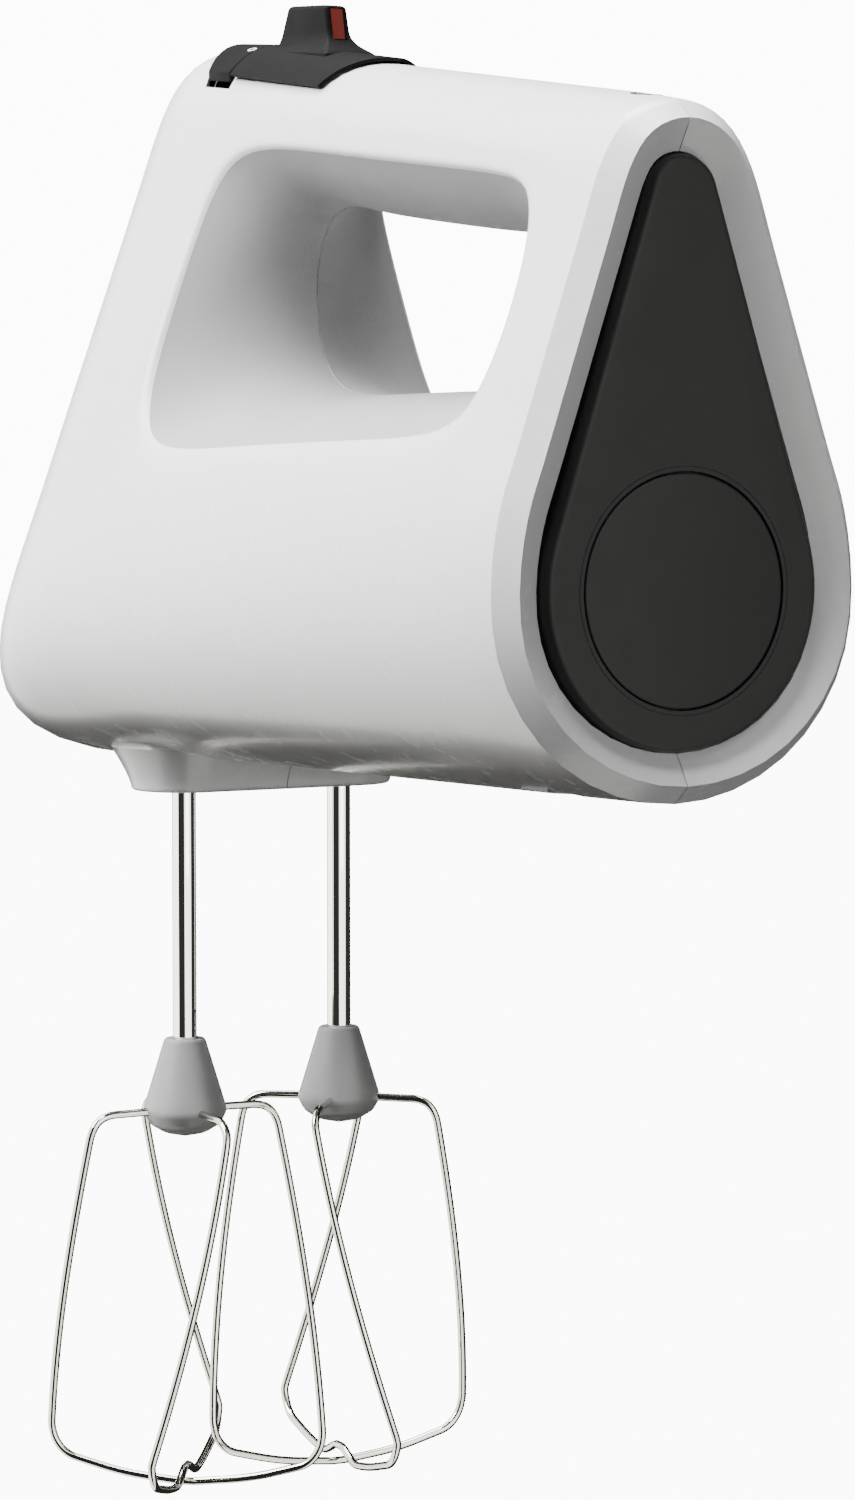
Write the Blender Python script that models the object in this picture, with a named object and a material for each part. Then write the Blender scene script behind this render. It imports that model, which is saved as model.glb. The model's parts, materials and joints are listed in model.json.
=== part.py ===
"""Mains hand mixer with two wire whisks, built as separate pieces.

Frame: the origin is the centre of the round disc on the flat rear end, +Y runs forward to the
nose, +X is the user's right hand, +Z is up and the whisks hang down. Lengths are in millimetres
and become metres in solid().
"""
import math

import bmesh
import bpy
from mathutils import Vector

MM = 0.001
GAP = 0.3                        # between pieces that touch

# Housing section: a round crown, two leaning flanks and a round belly
LEAN = math.radians(18.8)        # flanks from the vertical
TOP_REAR, TOP_RISE = 89.7, 0.133         # crown line: height at the rear, rise per mm forward
BELLY_REAR, BELLY_RISE = -39.8, -0.0090  # belly line
REACH_REAR, REACH_RISE = 40.8, 0.0323    # distance of the flanks' planes from x = z = 0
CORNER_REAR, CORNER_RISE = 39.9, -0.060  # radius where the flanks turn into the belly
BROW_START, BROW_DROP = 152.0, 0.0026    # the crown line bends down towards the nose
WALL = 2.4

# Rear end
RIM_Y, DISH_Y, RECESS_Y = -1.2, 2.5, 7.0
RIM_INSET, PLATE_INSET = 3.6, 9.5
PLATE_GAP = 0.8                  # the faceted recess is a little smaller than its smooth outline
REAR_SCREWS = ((14, 30), (19, -9))   # (x, z) on each side, behind the rear plate
DISC_R, DISC_SEAT_R, DISC_THICK = 21.7, 22.8, 1.8

# Drive line
SPINDLE_X, SPINDLE_Y = 19.0, 163.2
WORM_R, WHEEL_R = 3.65, 15.05    # tip radii, which clear each other by GAP
WHEEL_TEETH, WORM_STARTS = 30, 2
SPINDLE_R, SPINDLE_BORE = 6.0, 3.1
SKIRT_R, SKIRT_BOTTOM = 11.35, -46.8
SKIRT_FLARE = ((0.0, -46.8), (0.4, -43.6), (1.5, -41.2), (4.4, -37.1))   # (extra radius, z)
SHAFT_R, SHAFT_TOP, SHAFT_END = 2.57, -12.0, -118.2

# Whisks
WIRE_R = 0.88
COLLAR_TOP, COLLAR_WIDE, COLLAR_BOTTOM = -100.2, -115.7, -121.6
CAGE_TOP_R, CAGE_LOW_R = 22.0, 30.3
CAGE_TOP, CAGE_LOW, CAGE_BOTTOM = -115.8, -187.0, -197.3
TWIST = math.radians(-38.4)      # a cage arm turns this much on its way down

# Controls on the crown
CAP_FRONT, CAP_SPLIT, CAP_REAR, CAP_TAIL = 167.5, 152.0, 118.0, 103.5
CAP_SPREAD = math.radians(51)
CAP_AXIS = 15.3                  # their centre line lies this far under the crown line
CAP_IN, CAP_OUT = 15.8, 17.0     # their radii round it
FIN_TOP = 118.6
TURN_LOW, TURN_HIGH = math.radians(-8), math.radians(26)   # the selector's travel
STEM_HALF, SLOT_PLAY = math.radians(4), math.radians(2)    # its stem in the crown's slot
STEM_REAR, STEM_FRONT = 131.6, 138.4
BUTTON_SPREAD, BUTTON_DEPTH = math.radians(47), 3.4
BUTTON_HALF = CAP_OUT * math.sin(BUTTON_SPREAD)            # the eject button's straight sides


def crown_top(y):
    return TOP_REAR + TOP_RISE * y - BROW_DROP * max(0.0, y - BROW_START) ** 2


def belly(y):
    return BELLY_REAR + BELLY_RISE * y


def reach(y):
    """Distance of the flank plane from the line where x and z are 0."""
    return REACH_REAR + REACH_RISE * y


def crown_r(y):
    """Radius of the crown, which touches the crown line and both flanks."""
    return (reach(y) - crown_top(y) * math.sin(LEAN)) / (1 - math.sin(LEAN))


def crown_z(y):
    return crown_top(y) - crown_r(y)


def flank_x(y, z):
    return (reach(y) - z * math.sin(LEAN)) / math.cos(LEAN)


def belly_circle(y):
    """(x, z, radius) of the circle that turns the flank into the belly."""
    radius = CORNER_REAR + CORNER_RISE * y
    z = belly(y) + radius
    x = (reach(y) - radius - z * math.sin(LEAN)) / math.cos(LEAN)
    return max(x, 0.0), z, radius


# ---------------------------------------------------------------- materials and mesh helpers

def finish(name, colour, roughness, metallic=0.0):
    made = bpy.data.materials.new(name)
    made.use_nodes = True
    shader = made.node_tree.nodes["Principled BSDF"]
    shader.inputs["Base Color"].default_value = (*colour, 1.0)
    shader.inputs["Roughness"].default_value = roughness
    shader.inputs["Metallic"].default_value = metallic
    made.diffuse_color = (*colour, 1.0)
    return made


def solid(name, points, faces, material, origin=(0, 0, 0), smooth=40):
    """A closed mesh object from points in mm, with its origin at the given point."""
    mesh = bpy.data.meshes.new(name)
    start = Vector(origin)
    mesh.from_pydata([(Vector(p) - start) * MM for p in points], [], faces)
    edit = bmesh.new()
    edit.from_mesh(mesh)
    bmesh.ops.recalc_face_normals(edit, faces=edit.faces)
    edit.to_mesh(mesh)
    edit.free()
    mesh.shade_smooth()
    mesh.set_sharp_from_angle(angle=math.radians(smooth))
    made = bpy.data.objects.new(name, mesh)
    made.location = start * MM
    bpy.context.scene.collection.objects.link(made)
    if material:
        mesh.materials.append(material)
    return made


def stacked(name, rings, material, closed=False, **options):
    """Skins rings of equal count one to the next; the ends are capped unless the stack closes."""
    count = len(rings[0])
    points = [p for ring in rings for p in ring]
    faces = []
    last = len(rings) if closed else len(rings) - 1
    for i in range(last):
        a, b = i * count, (i + 1) % len(rings) * count
        for j in range(count):
            k = (j + 1) % count
            faces.append((a + j, a + k, b + k, b + j))
    if not closed:
        faces.append(tuple(range(count)))
        faces.append(tuple(range(len(points) - count, len(points))))
    return solid(name, points, faces, material, **options)


def box(name, low, high, material, **options):
    (x0, y0, z0), (x1, y1, z1) = low, high
    rings = [[(x0, y0, z), (x1, y0, z), (x1, y1, z), (x0, y1, z)] for z in (z0, z1)]
    return stacked(name, rings, material, **options)


def along(axis, radius, angle, height):
    """A point at (radius, angle, height) of a cylinder whose axis is Y or Z."""
    a, b = radius * math.cos(angle), radius * math.sin(angle)
    return (a, b, height) if axis == "Z" else (b, height, a)


def turned(name, profile, centre, material, axis="Z", sides=20, hollow=False, **options):
    """A solid of revolution. profile is (radius, height) pairs; a hollow one is a closed loop."""
    base = Vector(centre)
    rings = []
    for radius, height in profile:
        steps = [2 * math.pi * j / sides for j in range(sides)]
        rings.append([base + Vector(along(axis, radius, a, height)) for a in steps])
    return stacked(name, rings, material, closed=hollow, **options)


def rod(name, radius, low, high, centre, material, **options):
    return turned(name, [(radius, low), (radius, high)], centre, material, **options)


def sleeve(name, bore, outer, low, high, centre, material, **options):
    profile = [(outer, low), (outer, high), (bore, high), (bore, low)]
    return turned(name, profile, centre, material, hollow=True, **options)


def cutter(made):
    made.hide_render = True
    made.display_type = "WIRE"
    return made


def combine(target, tool, operation="DIFFERENCE"):
    step = target.modifiers.new(tool.name, "BOOLEAN")
    step.operation = operation
    step.solver = "EXACT"
    step.object = cutter(tool)
    return target


def wire(name, path, radius, material, resolution=1, cyclic=False):
    """A round wire along points in mm, with capped ends."""
    curve = bpy.data.curves.new(name, "CURVE")
    curve.dimensions = "3D"
    spline = curve.splines.new("POLY")
    spline.points.add(len(path) - 1)
    for point, place in zip(spline.points, path):
        point.co = (*(Vector(place) * MM), 1.0)
    spline.use_cyclic_u = cyclic
    curve.bevel_depth = radius * MM
    curve.bevel_resolution = resolution
    curve.use_fill_caps = True
    curve.materials.append(material)
    made = bpy.data.objects.new(name, curve)
    bpy.context.scene.collection.objects.link(made)
    return made


def coil(name, radius, low, high, turns, centre, axis, wire_radius, material, per_turn=10):
    """A compression spring."""
    count = turns * per_turn
    path = []
    for i in range(count + 1):
        turn = 2 * math.pi * i / per_turn
        height = low + (high - low) * i / count
        local = Vector(along("Z", radius, turn, height))
        if axis == "X":
            local = Vector((local.z, local.x, local.y))
        path.append(Vector(centre) + local)
    return wire(name, path, wire_radius, material, resolution=0)


def carry(name, origin, members):
    """An empty on a joint's axis that carries the pieces of one moving body."""
    empty = bpy.data.objects.new(name, None)
    empty.location = Vector(origin) * MM
    bpy.context.scene.collection.objects.link(empty)
    for member in members:
        member.parent = empty
        member.location = member.location - empty.location
    return empty


# ---------------------------------------------------------------- housing

ROW_TURN = math.radians(36)      # crown and belly control points stand this far apart
ROUND_UP = 3 / (2 + math.cos(ROW_TURN))  # control radius over the radius of the smooth surface
JAW, JAW_START = 0.075, 152.0    # the corner under the nose is this much squarer, from here on
HALF_ROWS = 12                   # rows from the top centre to the bottom centre
OPEN_TOP_ROW, OPEN_LOW_ROW = 4, 8
OPEN_FIRST, OPEN_LAST = 5, 11    # stations at the rear and front edge of the hand opening


def row_point(row, y, inset=0.0, flank_z=None):
    """(x, z) of a control row on the section at y, for x >= 0."""
    low_x, low_z, low_r = belly_circle(y)
    normal = math.pi / 2 - LEAN
    if row <= 2:
        turn = (0.0, ROW_TURN, normal)[row]
        radius = (crown_r(y) - inset) * (1.02 if row == 2 else ROUND_UP)
        return radius * math.sin(turn), crown_z(y) + radius * math.cos(turn)
    if row >= 9:
        turn = (normal, normal + ROW_TURN, normal + 2 * ROW_TURN, math.pi)[row - 9]
        radius = (low_r - inset) * (1.02 if row == 9 else ROUND_UP)
        if row in (10, 11):
            radius *= 1 + JAW * min(1.0, max(0.0, (y - JAW_START) / 30))
        x = 0.0 if row == HALF_ROWS else low_x + radius * math.sin(turn)
        return x, low_z + radius * math.cos(turn)
    upper = crown_z(y) + (crown_r(y) - inset) * math.cos(normal)
    lower = low_z + (low_r - inset) * math.cos(normal)
    z = flank_z if flank_z is not None else upper + (lower - upper) * (row - 2) / 7
    return flank_x(y, z) - inset / math.cos(LEAN), z


def opening_outline():
    """(station, row) -> (y, z) of the hand opening's edge on the flank."""
    top = [(25.0, 75.5), (37, 78.2), (59, 80.7), (85, 83.6), (112, 86.8), (134, 89.0), (146, 86.0)]
    low = [(25.0, 30.5), (39, 27.4), (60, 27.0), (85, 26.4), (110, 25.6), (134, 24.6), (147.5, 27.6)]
    rear = {5: (20.6, 66), 6: (19.4, 54), 7: (20.4, 42)}
    front = {5: (149.4, 73.5), 6: (150.2, 58), 7: (151.2, 41.5)}
    edge = {}
    for i, station in enumerate(range(OPEN_FIRST, OPEN_LAST + 1)):
        edge[station, OPEN_TOP_ROW] = top[i]
        edge[station, OPEN_LOW_ROW] = low[i]
    for row in rear:
        edge[OPEN_FIRST, row] = rear[row]
        edge[OPEN_LAST, row] = front[row]
    return edge


def opening_waist():
    """(station, row) -> (y, z) of the opening's narrowest loop, on the mid-plane."""
    top = [(33.5, 64.5), (45, 65.4), (63, 66.8), (85, 69.3), (104, 71.5), (118, 74.6), (128.5, 74.6)]
    low = [(34, 39.2), (45, 38.6), (62, 38.6), (82, 38.6), (100, 38.4), (116, 38.2), (127.5, 40.0)]
    rear = {5: (30, 59.5), 6: (28.8, 52), 7: (30, 44.5)}
    front = {5: (135, 68.5), 6: (138, 57.5), 7: (134.6, 46.5)}
    edge = {}
    for i, station in enumerate(range(OPEN_FIRST, OPEN_LAST + 1)):
        edge[station, OPEN_TOP_ROW] = top[i]
        edge[station, OPEN_LOW_ROW] = low[i]
    for row in rear:
        edge[OPEN_FIRST, row] = rear[row]
        edge[OPEN_LAST, row] = front[row]
    return edge


BEVEL_Y = 3.0
STATIONS = [RECESS_Y, DISH_Y, RIM_Y, BEVEL_Y, 11.0, 21, 37, 60, 85, 112, 136, 150, 159, 171, 182]
NOSE = [(190.0, 0.93), (195.5, 0.80), (198.5, 0.45)]   # (y, share of the half-width) past them
NOSE_LEAN = 0.085                # the nose runs back this much per mm above z = 0
NOSE_TUCK = 1.0                  # and this far at the bottom edge
NOSE_MIDDLE = 30.0               # the nose cap closes in towards this height


def nose_y(y, z):
    """Moves a nose point back where the nose leans, more the nearer it is to the tip."""
    amount = max(0.0, min(1.0, (y - 150) / 40))
    tuck = NOSE_TUCK * max(0.0, -(z + 18) / 24) ** 2
    return y - amount * (NOSE_LEAN * max(z, -18) + tuck)


def housing_cage():
    """Control points of the outer surface: rings of rows at each station, then the nose cap."""
    edge = opening_outline()
    insets = [PLATE_INSET, PLATE_INSET, RIM_INSET]
    rings = []
    for station, y in enumerate(STATIONS):
        ring = []
        for row in range(HALF_ROWS + 1):
            if station < 3:
                x, z = row_point(row, 0.0, insets[station])
                place = y
            elif station == 3:
                x, z = row_point(row, 0.0)
                place = y
            elif (station, row) in edge:
                place, z = edge[station, row]
                x = flank_x(place, z)
            elif OPEN_FIRST < station < OPEN_LAST and OPEN_TOP_ROW < row < OPEN_LOW_ROW:
                ring.append(None)
                continue
            elif row == 3 and OPEN_FIRST <= station <= OPEN_LAST:
                above, below = row_point(2, y)[1], edge[station, OPEN_TOP_ROW][1]
                x, z = row_point(row, y, flank_z=(above + below) / 2)
                place = nose_y(y, z)
            else:
                x, z = row_point(row, y)
                place = nose_y(y, z)
            ring.append((x, place, z))
        rings.append(ring)
    tip = STATIONS[-1]
    for y, share in NOSE:
        ring = []
        for row in range(HALF_ROWS + 1):
            x, z = row_point(row, tip)
            fullness = 0.45 if z > NOSE_MIDDLE else 0.10
            height = NOSE_MIDDLE + (z - NOSE_MIDDLE) * (1 - (1 - share) * fullness)
            narrow = 1 - (1 - share) * (1 - 0.6 * min(1.0, max(0.0, -z / 40)))
            ring.append((x * narrow, nose_y(y, height), height))
        rings.append(ring)
    return rings


def housing_surface(name):
    """The open outer surface, as control points for the subdivision that smooths it."""
    rings = housing_cage()
    waist = opening_waist()
    points, index = [], {}

    def put(key, place):
        index[key] = len(points)
        points.append(place)

    for station, ring in enumerate(rings):
        for row, place in enumerate(ring):
            if place is None:
                continue
            x, y, z = place
            centre = row in (0, HALF_ROWS)
            put((station, row, 1), (0.0 if centre else x, y, z))
            if centre:
                index[station, row, -1] = index[station, row, 1]
            else:
                put((station, row, -1), (-x, y, z))

    faces = []

    def is_open(station, row):
        return OPEN_FIRST <= station < OPEN_LAST and OPEN_TOP_ROW <= row < OPEN_LOW_ROW

    for station in range(len(rings) - 1):
        for row in range(HALF_ROWS):
            if is_open(station, row):
                continue
            for side in (1, -1):
                corners = [(station, row), (station, row + 1),
                           (station + 1, row + 1), (station + 1, row)]
                loop = [index[(*c, side)] for c in corners]
                faces.append(loop if side == 1 else loop[::-1])

    last = len(rings) - 1
    for row in range(1, HALF_ROWS):
        right = rings[last][row]
        put(("cap", row), (0.0, right[1] + 1.0, right[2]))
    index["cap", 0] = index[last, 0, 1]
    index["cap", HALF_ROWS] = index[last, HALF_ROWS, 1]
    for row in range(HALF_ROWS):
        for side in (1, -1):
            loop = [index[last, row, side], index[last, row + 1, side],
                    index["cap", row + 1], index["cap", row]]
            loop = list(dict.fromkeys(loop))
            faces.append(loop if side == 1 else loop[::-1])

    border = [(s, OPEN_TOP_ROW) for s in range(OPEN_FIRST, OPEN_LAST)]
    border += [(OPEN_LAST, r) for r in range(OPEN_TOP_ROW, OPEN_LOW_ROW)]
    border += [(s, OPEN_LOW_ROW) for s in range(OPEN_LAST, OPEN_FIRST, -1)]
    border += [(OPEN_FIRST, r) for r in range(OPEN_LOW_ROW, OPEN_TOP_ROW, -1)]
    for key in border:
        x, y, z = points[index[(*key, 1)]]
        mid_y, mid_z = waist[key]
        for level, (share, pull) in enumerate(((0.86, 0.22), (0.55, 0.68)), start=1):
            place_y, place_z = y + (mid_y - y) * pull, z + (mid_z - z) * pull
            put((key, level, 1), (x * share, place_y, place_z))
            put((key, level, -1), (-x * share, place_y, place_z))
        put((key, 3, 1), (0.0, mid_y, mid_z))
        index[key, 3, -1] = index[key, 3, 1]
        index[key, 0, 1] = index[(*key, 1)]
        index[key, 0, -1] = index[(*key, -1)]
    for i, key in enumerate(border):
        after = border[(i + 1) % len(border)]
        for level in range(3):
            for side in (1, -1):
                loop = [index[key, level, side], index[after, level, side],
                        index[after, level + 1, side], index[key, level + 1, side]]
                faces.append(loop if side == 1 else loop[::-1])

    mesh = bpy.data.meshes.new(name)
    mesh.from_pydata([Vector(p) * MM for p in points], [], faces)
    edit = bmesh.new()
    edit.from_mesh(mesh)
    bmesh.ops.recalc_face_normals(edit, faces=edit.faces)
    crease = edit.edges.layers.float.new("crease_edge")
    rim = {index[station, row, side]: station
           for station in (1, 2, 3) for row in range(HALF_ROWS + 1) for side in (1, -1)}
    for line in edit.edges:
        start, end = (rim.get(corner.index) for corner in line.verts)
        if start is not None and start == end:
            line[crease] = 1.0
    edit.to_mesh(mesh)
    edit.free()
    return mesh


def skirt_ring(radius, z, count=9):
    """A stadium round both spindle axes."""
    ring = []
    for side, start in ((1, -math.pi / 2), (-1, math.pi / 2)):
        for j in range(count + 1):
            turn = start + math.pi * j / count
            x = side * SPINDLE_X + radius * math.cos(turn)
            ring.append((x, SPINDLE_Y + radius * math.sin(turn), z))
    return ring


def crown_piece(name, low_r, high_r, spread, front, rear, material,
                steps=8, middle=0.0, **options):
    """A shell bent round the crown; front and rear give y for an angle from the top."""
    rings = []
    for i in range(steps + 1):
        turn = middle - spread + 2 * spread * i / steps
        ring = []
        for radius, y in ((low_r, rear(turn)), (high_r, rear(turn)),
                          (high_r, front(turn)), (low_r, front(turn))):
            z = crown_top(y) - CAP_AXIS + radius * math.cos(turn)
            ring.append((radius * math.sin(turn), y, z))
        rings.append(ring)
    return stacked(name, rings, material, **options)


def make_housing(white):
    """The two halves of the housing, each with its half of the skirt round the spindles."""
    surface = housing_surface("housing_surface")
    surface.materials.append(white)
    flare = [skirt_ring(SKIRT_R + extra, z) for extra, z in SKIRT_FLARE]
    skirt = stacked("skirt_outside", flare, None)
    hollow = stacked("skirt_inside", [skirt_ring(9.2, -44.4), skirt_ring(9.2, -30.0)], None)
    cord_hole = rod("cord_hole", 3.3, 80, 100, (0, 13.0, 0), None, sides=18)
    slot_low = TURN_LOW - STEM_HALF - SLOT_PLAY
    slot_high = TURN_HIGH + STEM_HALF + SLOT_PLAY
    stem_slot = crown_piece("stem_slot", 11.0, 20.0, (slot_high - slot_low) / 2,
                            lambda turn: STEM_FRONT + 0.6, lambda turn: STEM_REAR - 0.6, None,
                            steps=7, middle=(slot_high + slot_low) / 2)
    button_well = box("button_well", (-BUTTON_HALF - GAP, CAP_SPLIT + 0.2, 97),
                      (BUTTON_HALF + GAP, CAP_FRONT + GAP, 125), None)
    vent = box("vent_hole", (-15.4, 23.0, -50), (15.4, 33.0, -33), None)
    halves = []
    for name, side in (("left_housing", -1), ("right_housing", 1)):
        half = bpy.data.objects.new(name, surface.copy())
        bpy.context.scene.collection.objects.link(half)
        smooth = half.modifiers.new("smooth", "SUBSURF")
        smooth.levels = smooth.render_levels = 1
        shell = half.modifiers.new("wall", "SOLIDIFY")
        shell.thickness = WALL * MM
        shell.offset = -1.0
        combine(half, skirt, "UNION")
        for x, z in REAR_SCREWS:
            reach_x = flank_x(12, z) - 1.2 if z > 10 else 36.5
            low, high = sorted((side * (x - 4), side * reach_x))
            lug = box(f"{name}_lug_{x}", (low, 10.4, z - 4), (high, 16, z + 4), None)
            combine(half, lug, "UNION")
            combine(half, rod(f"{name}_screw_hole_{x}", 1.7, 0, 30, (side * x, 0, z), None,
                              axis="Y", sides=10))
        for tool in (hollow, cord_hole, stem_slot, button_well, vent):
            combine(half, tool)
        socket_at = (side * SPINDLE_X, SPINDLE_Y, 0)
        combine(half, rod(f"{name}_socket", SPINDLE_R + 0.5, -50, -30, socket_at, None))
        low, high = sorted((side * GAP / 2, side * 80))
        keep = box(f"{name}_side", (low, -20, -70), (high, 240, 140), None)
        combine(half, keep, "INTERSECT")
        halves.append(half)
    return halves


def teardrop(inset, y, crown_steps=6, belly_steps=16):
    """The rear outline, moved in by inset, at y."""
    high_z, high_r = crown_z(0), crown_r(0)
    _, low_z, low_r = belly_circle(0)
    normal = math.pi / 2 - LEAN
    ring = []
    for j in range(crown_steps + 1):
        turn = -normal + 2 * normal * j / crown_steps
        x, z = (high_r - inset) * math.sin(turn), high_z + (high_r - inset) * math.cos(turn)
        ring.append((x, y, z))
    for j in range(belly_steps + 1):
        turn = normal + 2 * (math.pi - normal) * j / belly_steps
        x, z = (low_r - inset) * math.sin(turn), low_z + (low_r - inset) * math.cos(turn)
        ring.append((x, y, z))
    return ring


def make_rear_end(dark, steel):
    inset = PLATE_INSET + PLATE_GAP
    edges = ((1.1, 0.0), (0.3, 0.7), (0.0, 1.6), (0.0, 4.9))
    rings = [teardrop(inset + extra, y) for extra, y in edges]
    plate = stacked("rear_plate", rings, dark)
    seat = rod("disc_seat", DISC_SEAT_R, -5, DISC_THICK + GAP, (0, 0, 0), None, axis="Y", sides=40)
    combine(plate, seat)
    profile = [(DISC_R - 0.4, 0.0), (DISC_R, 0.5), (DISC_R, DISC_THICK)]
    disc = turned("rear_disc", profile, (0, 0, 0), dark, axis="Y", sides=40)
    frame = stacked("rear_frame", [teardrop(9.9, 7.6), teardrop(9.9, 10.0)], dark)
    combine(frame, box("frame_window", (-8, 0, -20), (8, 20, 38), None))
    screws = []
    centres = [(side * x, 0, z) for side in (-1, 1) for x, z in REAR_SCREWS]
    for i, centre in enumerate(centres, start=1):
        combine(frame, rod(f"frame_screw_hole_{i}", 1.8, 0, 20, centre, None, axis="Y", sides=10))
        profile = [(2.6, 5.2), (2.6, 7.3), (1.4, 7.3), (1.4, 15.5)]
        screws.append(turned(f"rear_screw_{i}", profile, centre, steel, axis="Y", sides=10))
    return [plate, disc, frame, *screws]


# ---------------------------------------------------------------- crown controls

def tail_y(turn):
    """Rear edge of the selector: a narrow tail on the crown that widens to the full saddle."""
    share = min(1.0, abs(turn) / CAP_SPREAD)
    return CAP_TAIL + (CAP_REAR - CAP_TAIL) * share ** 0.8


def rectangle(z, half, rear, front):
    return [(-half, rear, z), (half, rear, z), (half, front, z), (-half, front, z)]


def make_selector(dark, red):
    """The saddle with its fin, its stem and the strip let into the fin's rear edge."""
    origin = (0, 134, crown_top(134) - CAP_AXIS)
    saddle = crown_piece("speed_selector", CAP_IN, CAP_OUT, CAP_SPREAD,
                         lambda turn: CAP_SPLIT - GAP, tail_y, dark, steps=10, origin=origin)
    foot = [(x, y, crown_top(y) + 0.8) for x, y, _ in rectangle(0, 3.9, 124.0, 150.6)]
    levels = ((110.5, 3.2, 126.5, 149.5), (114.0, 2.8, 128.0, 147.6),
              (FIN_TOP - 0.7, 2.6, 129.4, 146.0), (FIN_TOP, 2.1, 130.2, 145.2))
    fin = stacked("selector_fin", [foot] + [rectangle(*level) for level in levels], None)
    combine(saddle, fin, "UNION")
    stem = crown_piece("selector_stem", 12.4, 16.4, STEM_HALF,
                       lambda turn: STEM_FRONT, lambda turn: STEM_REAR, None, steps=2)
    combine(saddle, stem, "UNION")
    bed_levels = ((111.5, 1.75, 110, 128.3), (FIN_TOP - 1.1, 1.75, 110, 130.6))
    combine(saddle, stacked("strip_bed", [rectangle(*level) for level in bed_levels], None))
    strip_levels = ((111.9, 1.45, 127.3, 128.1), (FIN_TOP - 1.4, 1.45, 129.3, 130.15))
    strip = stacked("indicator_strip", [rectangle(*level) for level in strip_levels], red)
    return [saddle, strip]


def make_eject_button(dark, steps=8):
    """A cap with the crown's curve on top and straight sides, so that it can sink into its well."""
    turns = [BUTTON_SPREAD * (2 * i / steps - 1) for i in range(steps + 1)]
    rings = []
    for y in (CAP_SPLIT + 2 * GAP, CAP_FRONT):
        axis_z = crown_top(y) - CAP_AXIS
        top = [(CAP_OUT * math.sin(turn), y, axis_z + CAP_OUT * math.cos(turn)) for turn in turns]
        rings.append(top + [(x, y, z - BUTTON_DEPTH) for x, y, z in reversed(top)])
    cap = stacked("eject_button", rings, dark)
    stem = box("button_stem", (-3.5, 154.6, 101.5), (3.5, 161.4, 110), None)
    combine(cap, stem, "UNION")
    return cap


def make_ejector(dark, steel, spring_steel):
    rod_piece = rod("ejector_rod", 2.4, 35.9, 101.1, (0, 158, 0), steel, sides=10)
    yoke = box("ejector_yoke", (-24.5, 155.0, 31.0), (24.5, 168.5, 35.5), dark)
    spring = coil("ejector_spring", 4.4, 14.9, 29.9, 5, (0, 158, 0), "Z", 0.55, spring_steel)
    return rod_piece, yoke, spring


# ---------------------------------------------------------------- motor and gears

def make_stator(iron, copper):
    core = box("stator_core", (-27, 78, -23), (27, 100, 23), iron)
    room = box("stator_room", (-22, 70, -17.5), (22, 110, 17.5), None)
    combine(core, room)
    pole = box("stator_poles", (-10, 78, -20), (10, 100, 20), None)
    combine(core, pole, "UNION")
    bore = rod("stator_bore", 15.4, 70, 110, (0, 0, 0), None, axis="Y", sides=24)
    combine(core, bore)
    coils = []
    for name, low, high in (("upper_field_coil", 12.9, 17.1), ("lower_field_coil", -17.1, -12.9)):
        outer = box(name, (-16.5, 71, low), (16.5, 107, high), copper)
        hole = box(f"{name}_hole", (-10.4, 77.6, low - 2), (10.4, 100.4, high + 2), None)
        combine(outer, hole)
        room = rod(f"{name}_bore", 15.9, 60, 120, (0, 0, 0), None, axis="Y", sides=24)
        combine(outer, room)
        coils.append(outer)
    return [core, *coils]


def make_rotor(steel, iron, copper, dark, brass):
    shaft = rod("motor_shaft", 2.5, 44, 186, (0, 0, 0), steel, axis="Y", sides=12)
    core = sleeve("armature_core", 2.8, 14.8, 78.5, 99.5, (0, 0, 0), iron, axis="Y", sides=24)
    winding = sleeve("armature_winding", 2.8, 11.0, 70.5, 78.2, (0, 0, 0), copper, axis="Y", sides=16)
    bars = sleeve("commutator", 2.8, 8.0, 57, 70.2, (0, 0, 0), copper, axis="Y", sides=16)
    fan = make_fan(dark)
    worm = make_worm(brass)
    return [shaft, core, winding, bars, fan, worm]


def make_fan(material, blades=10, hub=6.0, tip=22.0, low=110.0, high=118.0):
    """A disc with radial blades on its rear face."""
    outline = []
    for i in range(blades):
        turn = 2 * math.pi * i / blades
        for radius, shift in ((hub, -0.05), (tip, -0.03), (tip, 0.03), (hub, 0.05)):
            outline.append(along("Y", radius, turn + shift * 22 / radius, 0))
    rings = [[(x, y, z) for x, _, z in outline] for y in (low, high - 1.5)]
    blades_part = stacked("fan_blades", rings, None)
    disc = rod("cooling_fan", tip + 0.6, high - 2.0, high, (0, 0, 0), material, axis="Y", sides=24)
    combine(disc, blades_part, "UNION")
    combine(disc, rod("fan_bore", 2.8, 100, 130, (0, 0, 0), None, axis="Y", sides=12))
    return disc


def make_worm(material, low=152.0, high=174.0, sides=12, root=3.0):
    """The thread is a bump that winds round with two starts."""
    lead = WORM_STARTS * math.pi * 2 * (WHEEL_R - 0.05) / WHEEL_TEETH
    stations = 30
    bore = 2.8
    rings = []
    for i in range(stations + 1):
        y = low + (high - low) * i / stations
        ring = []
        for j in range(sides):
            turn = 2 * math.pi * j / sides
            wave = math.cos(WORM_STARTS * turn - 2 * math.pi * WORM_STARTS * (y - low) / lead)
            ring.append(along("Y", root + (WORM_R - root) * (0.5 + 0.5 * wave), turn, y))
        rings.append(ring)
    for y in (high, low):
        rings.append([along("Y", bore, 2 * math.pi * j / sides, y) for j in range(sides)])
    return stacked("worm", rings, material, closed=True, smooth=60)


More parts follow.
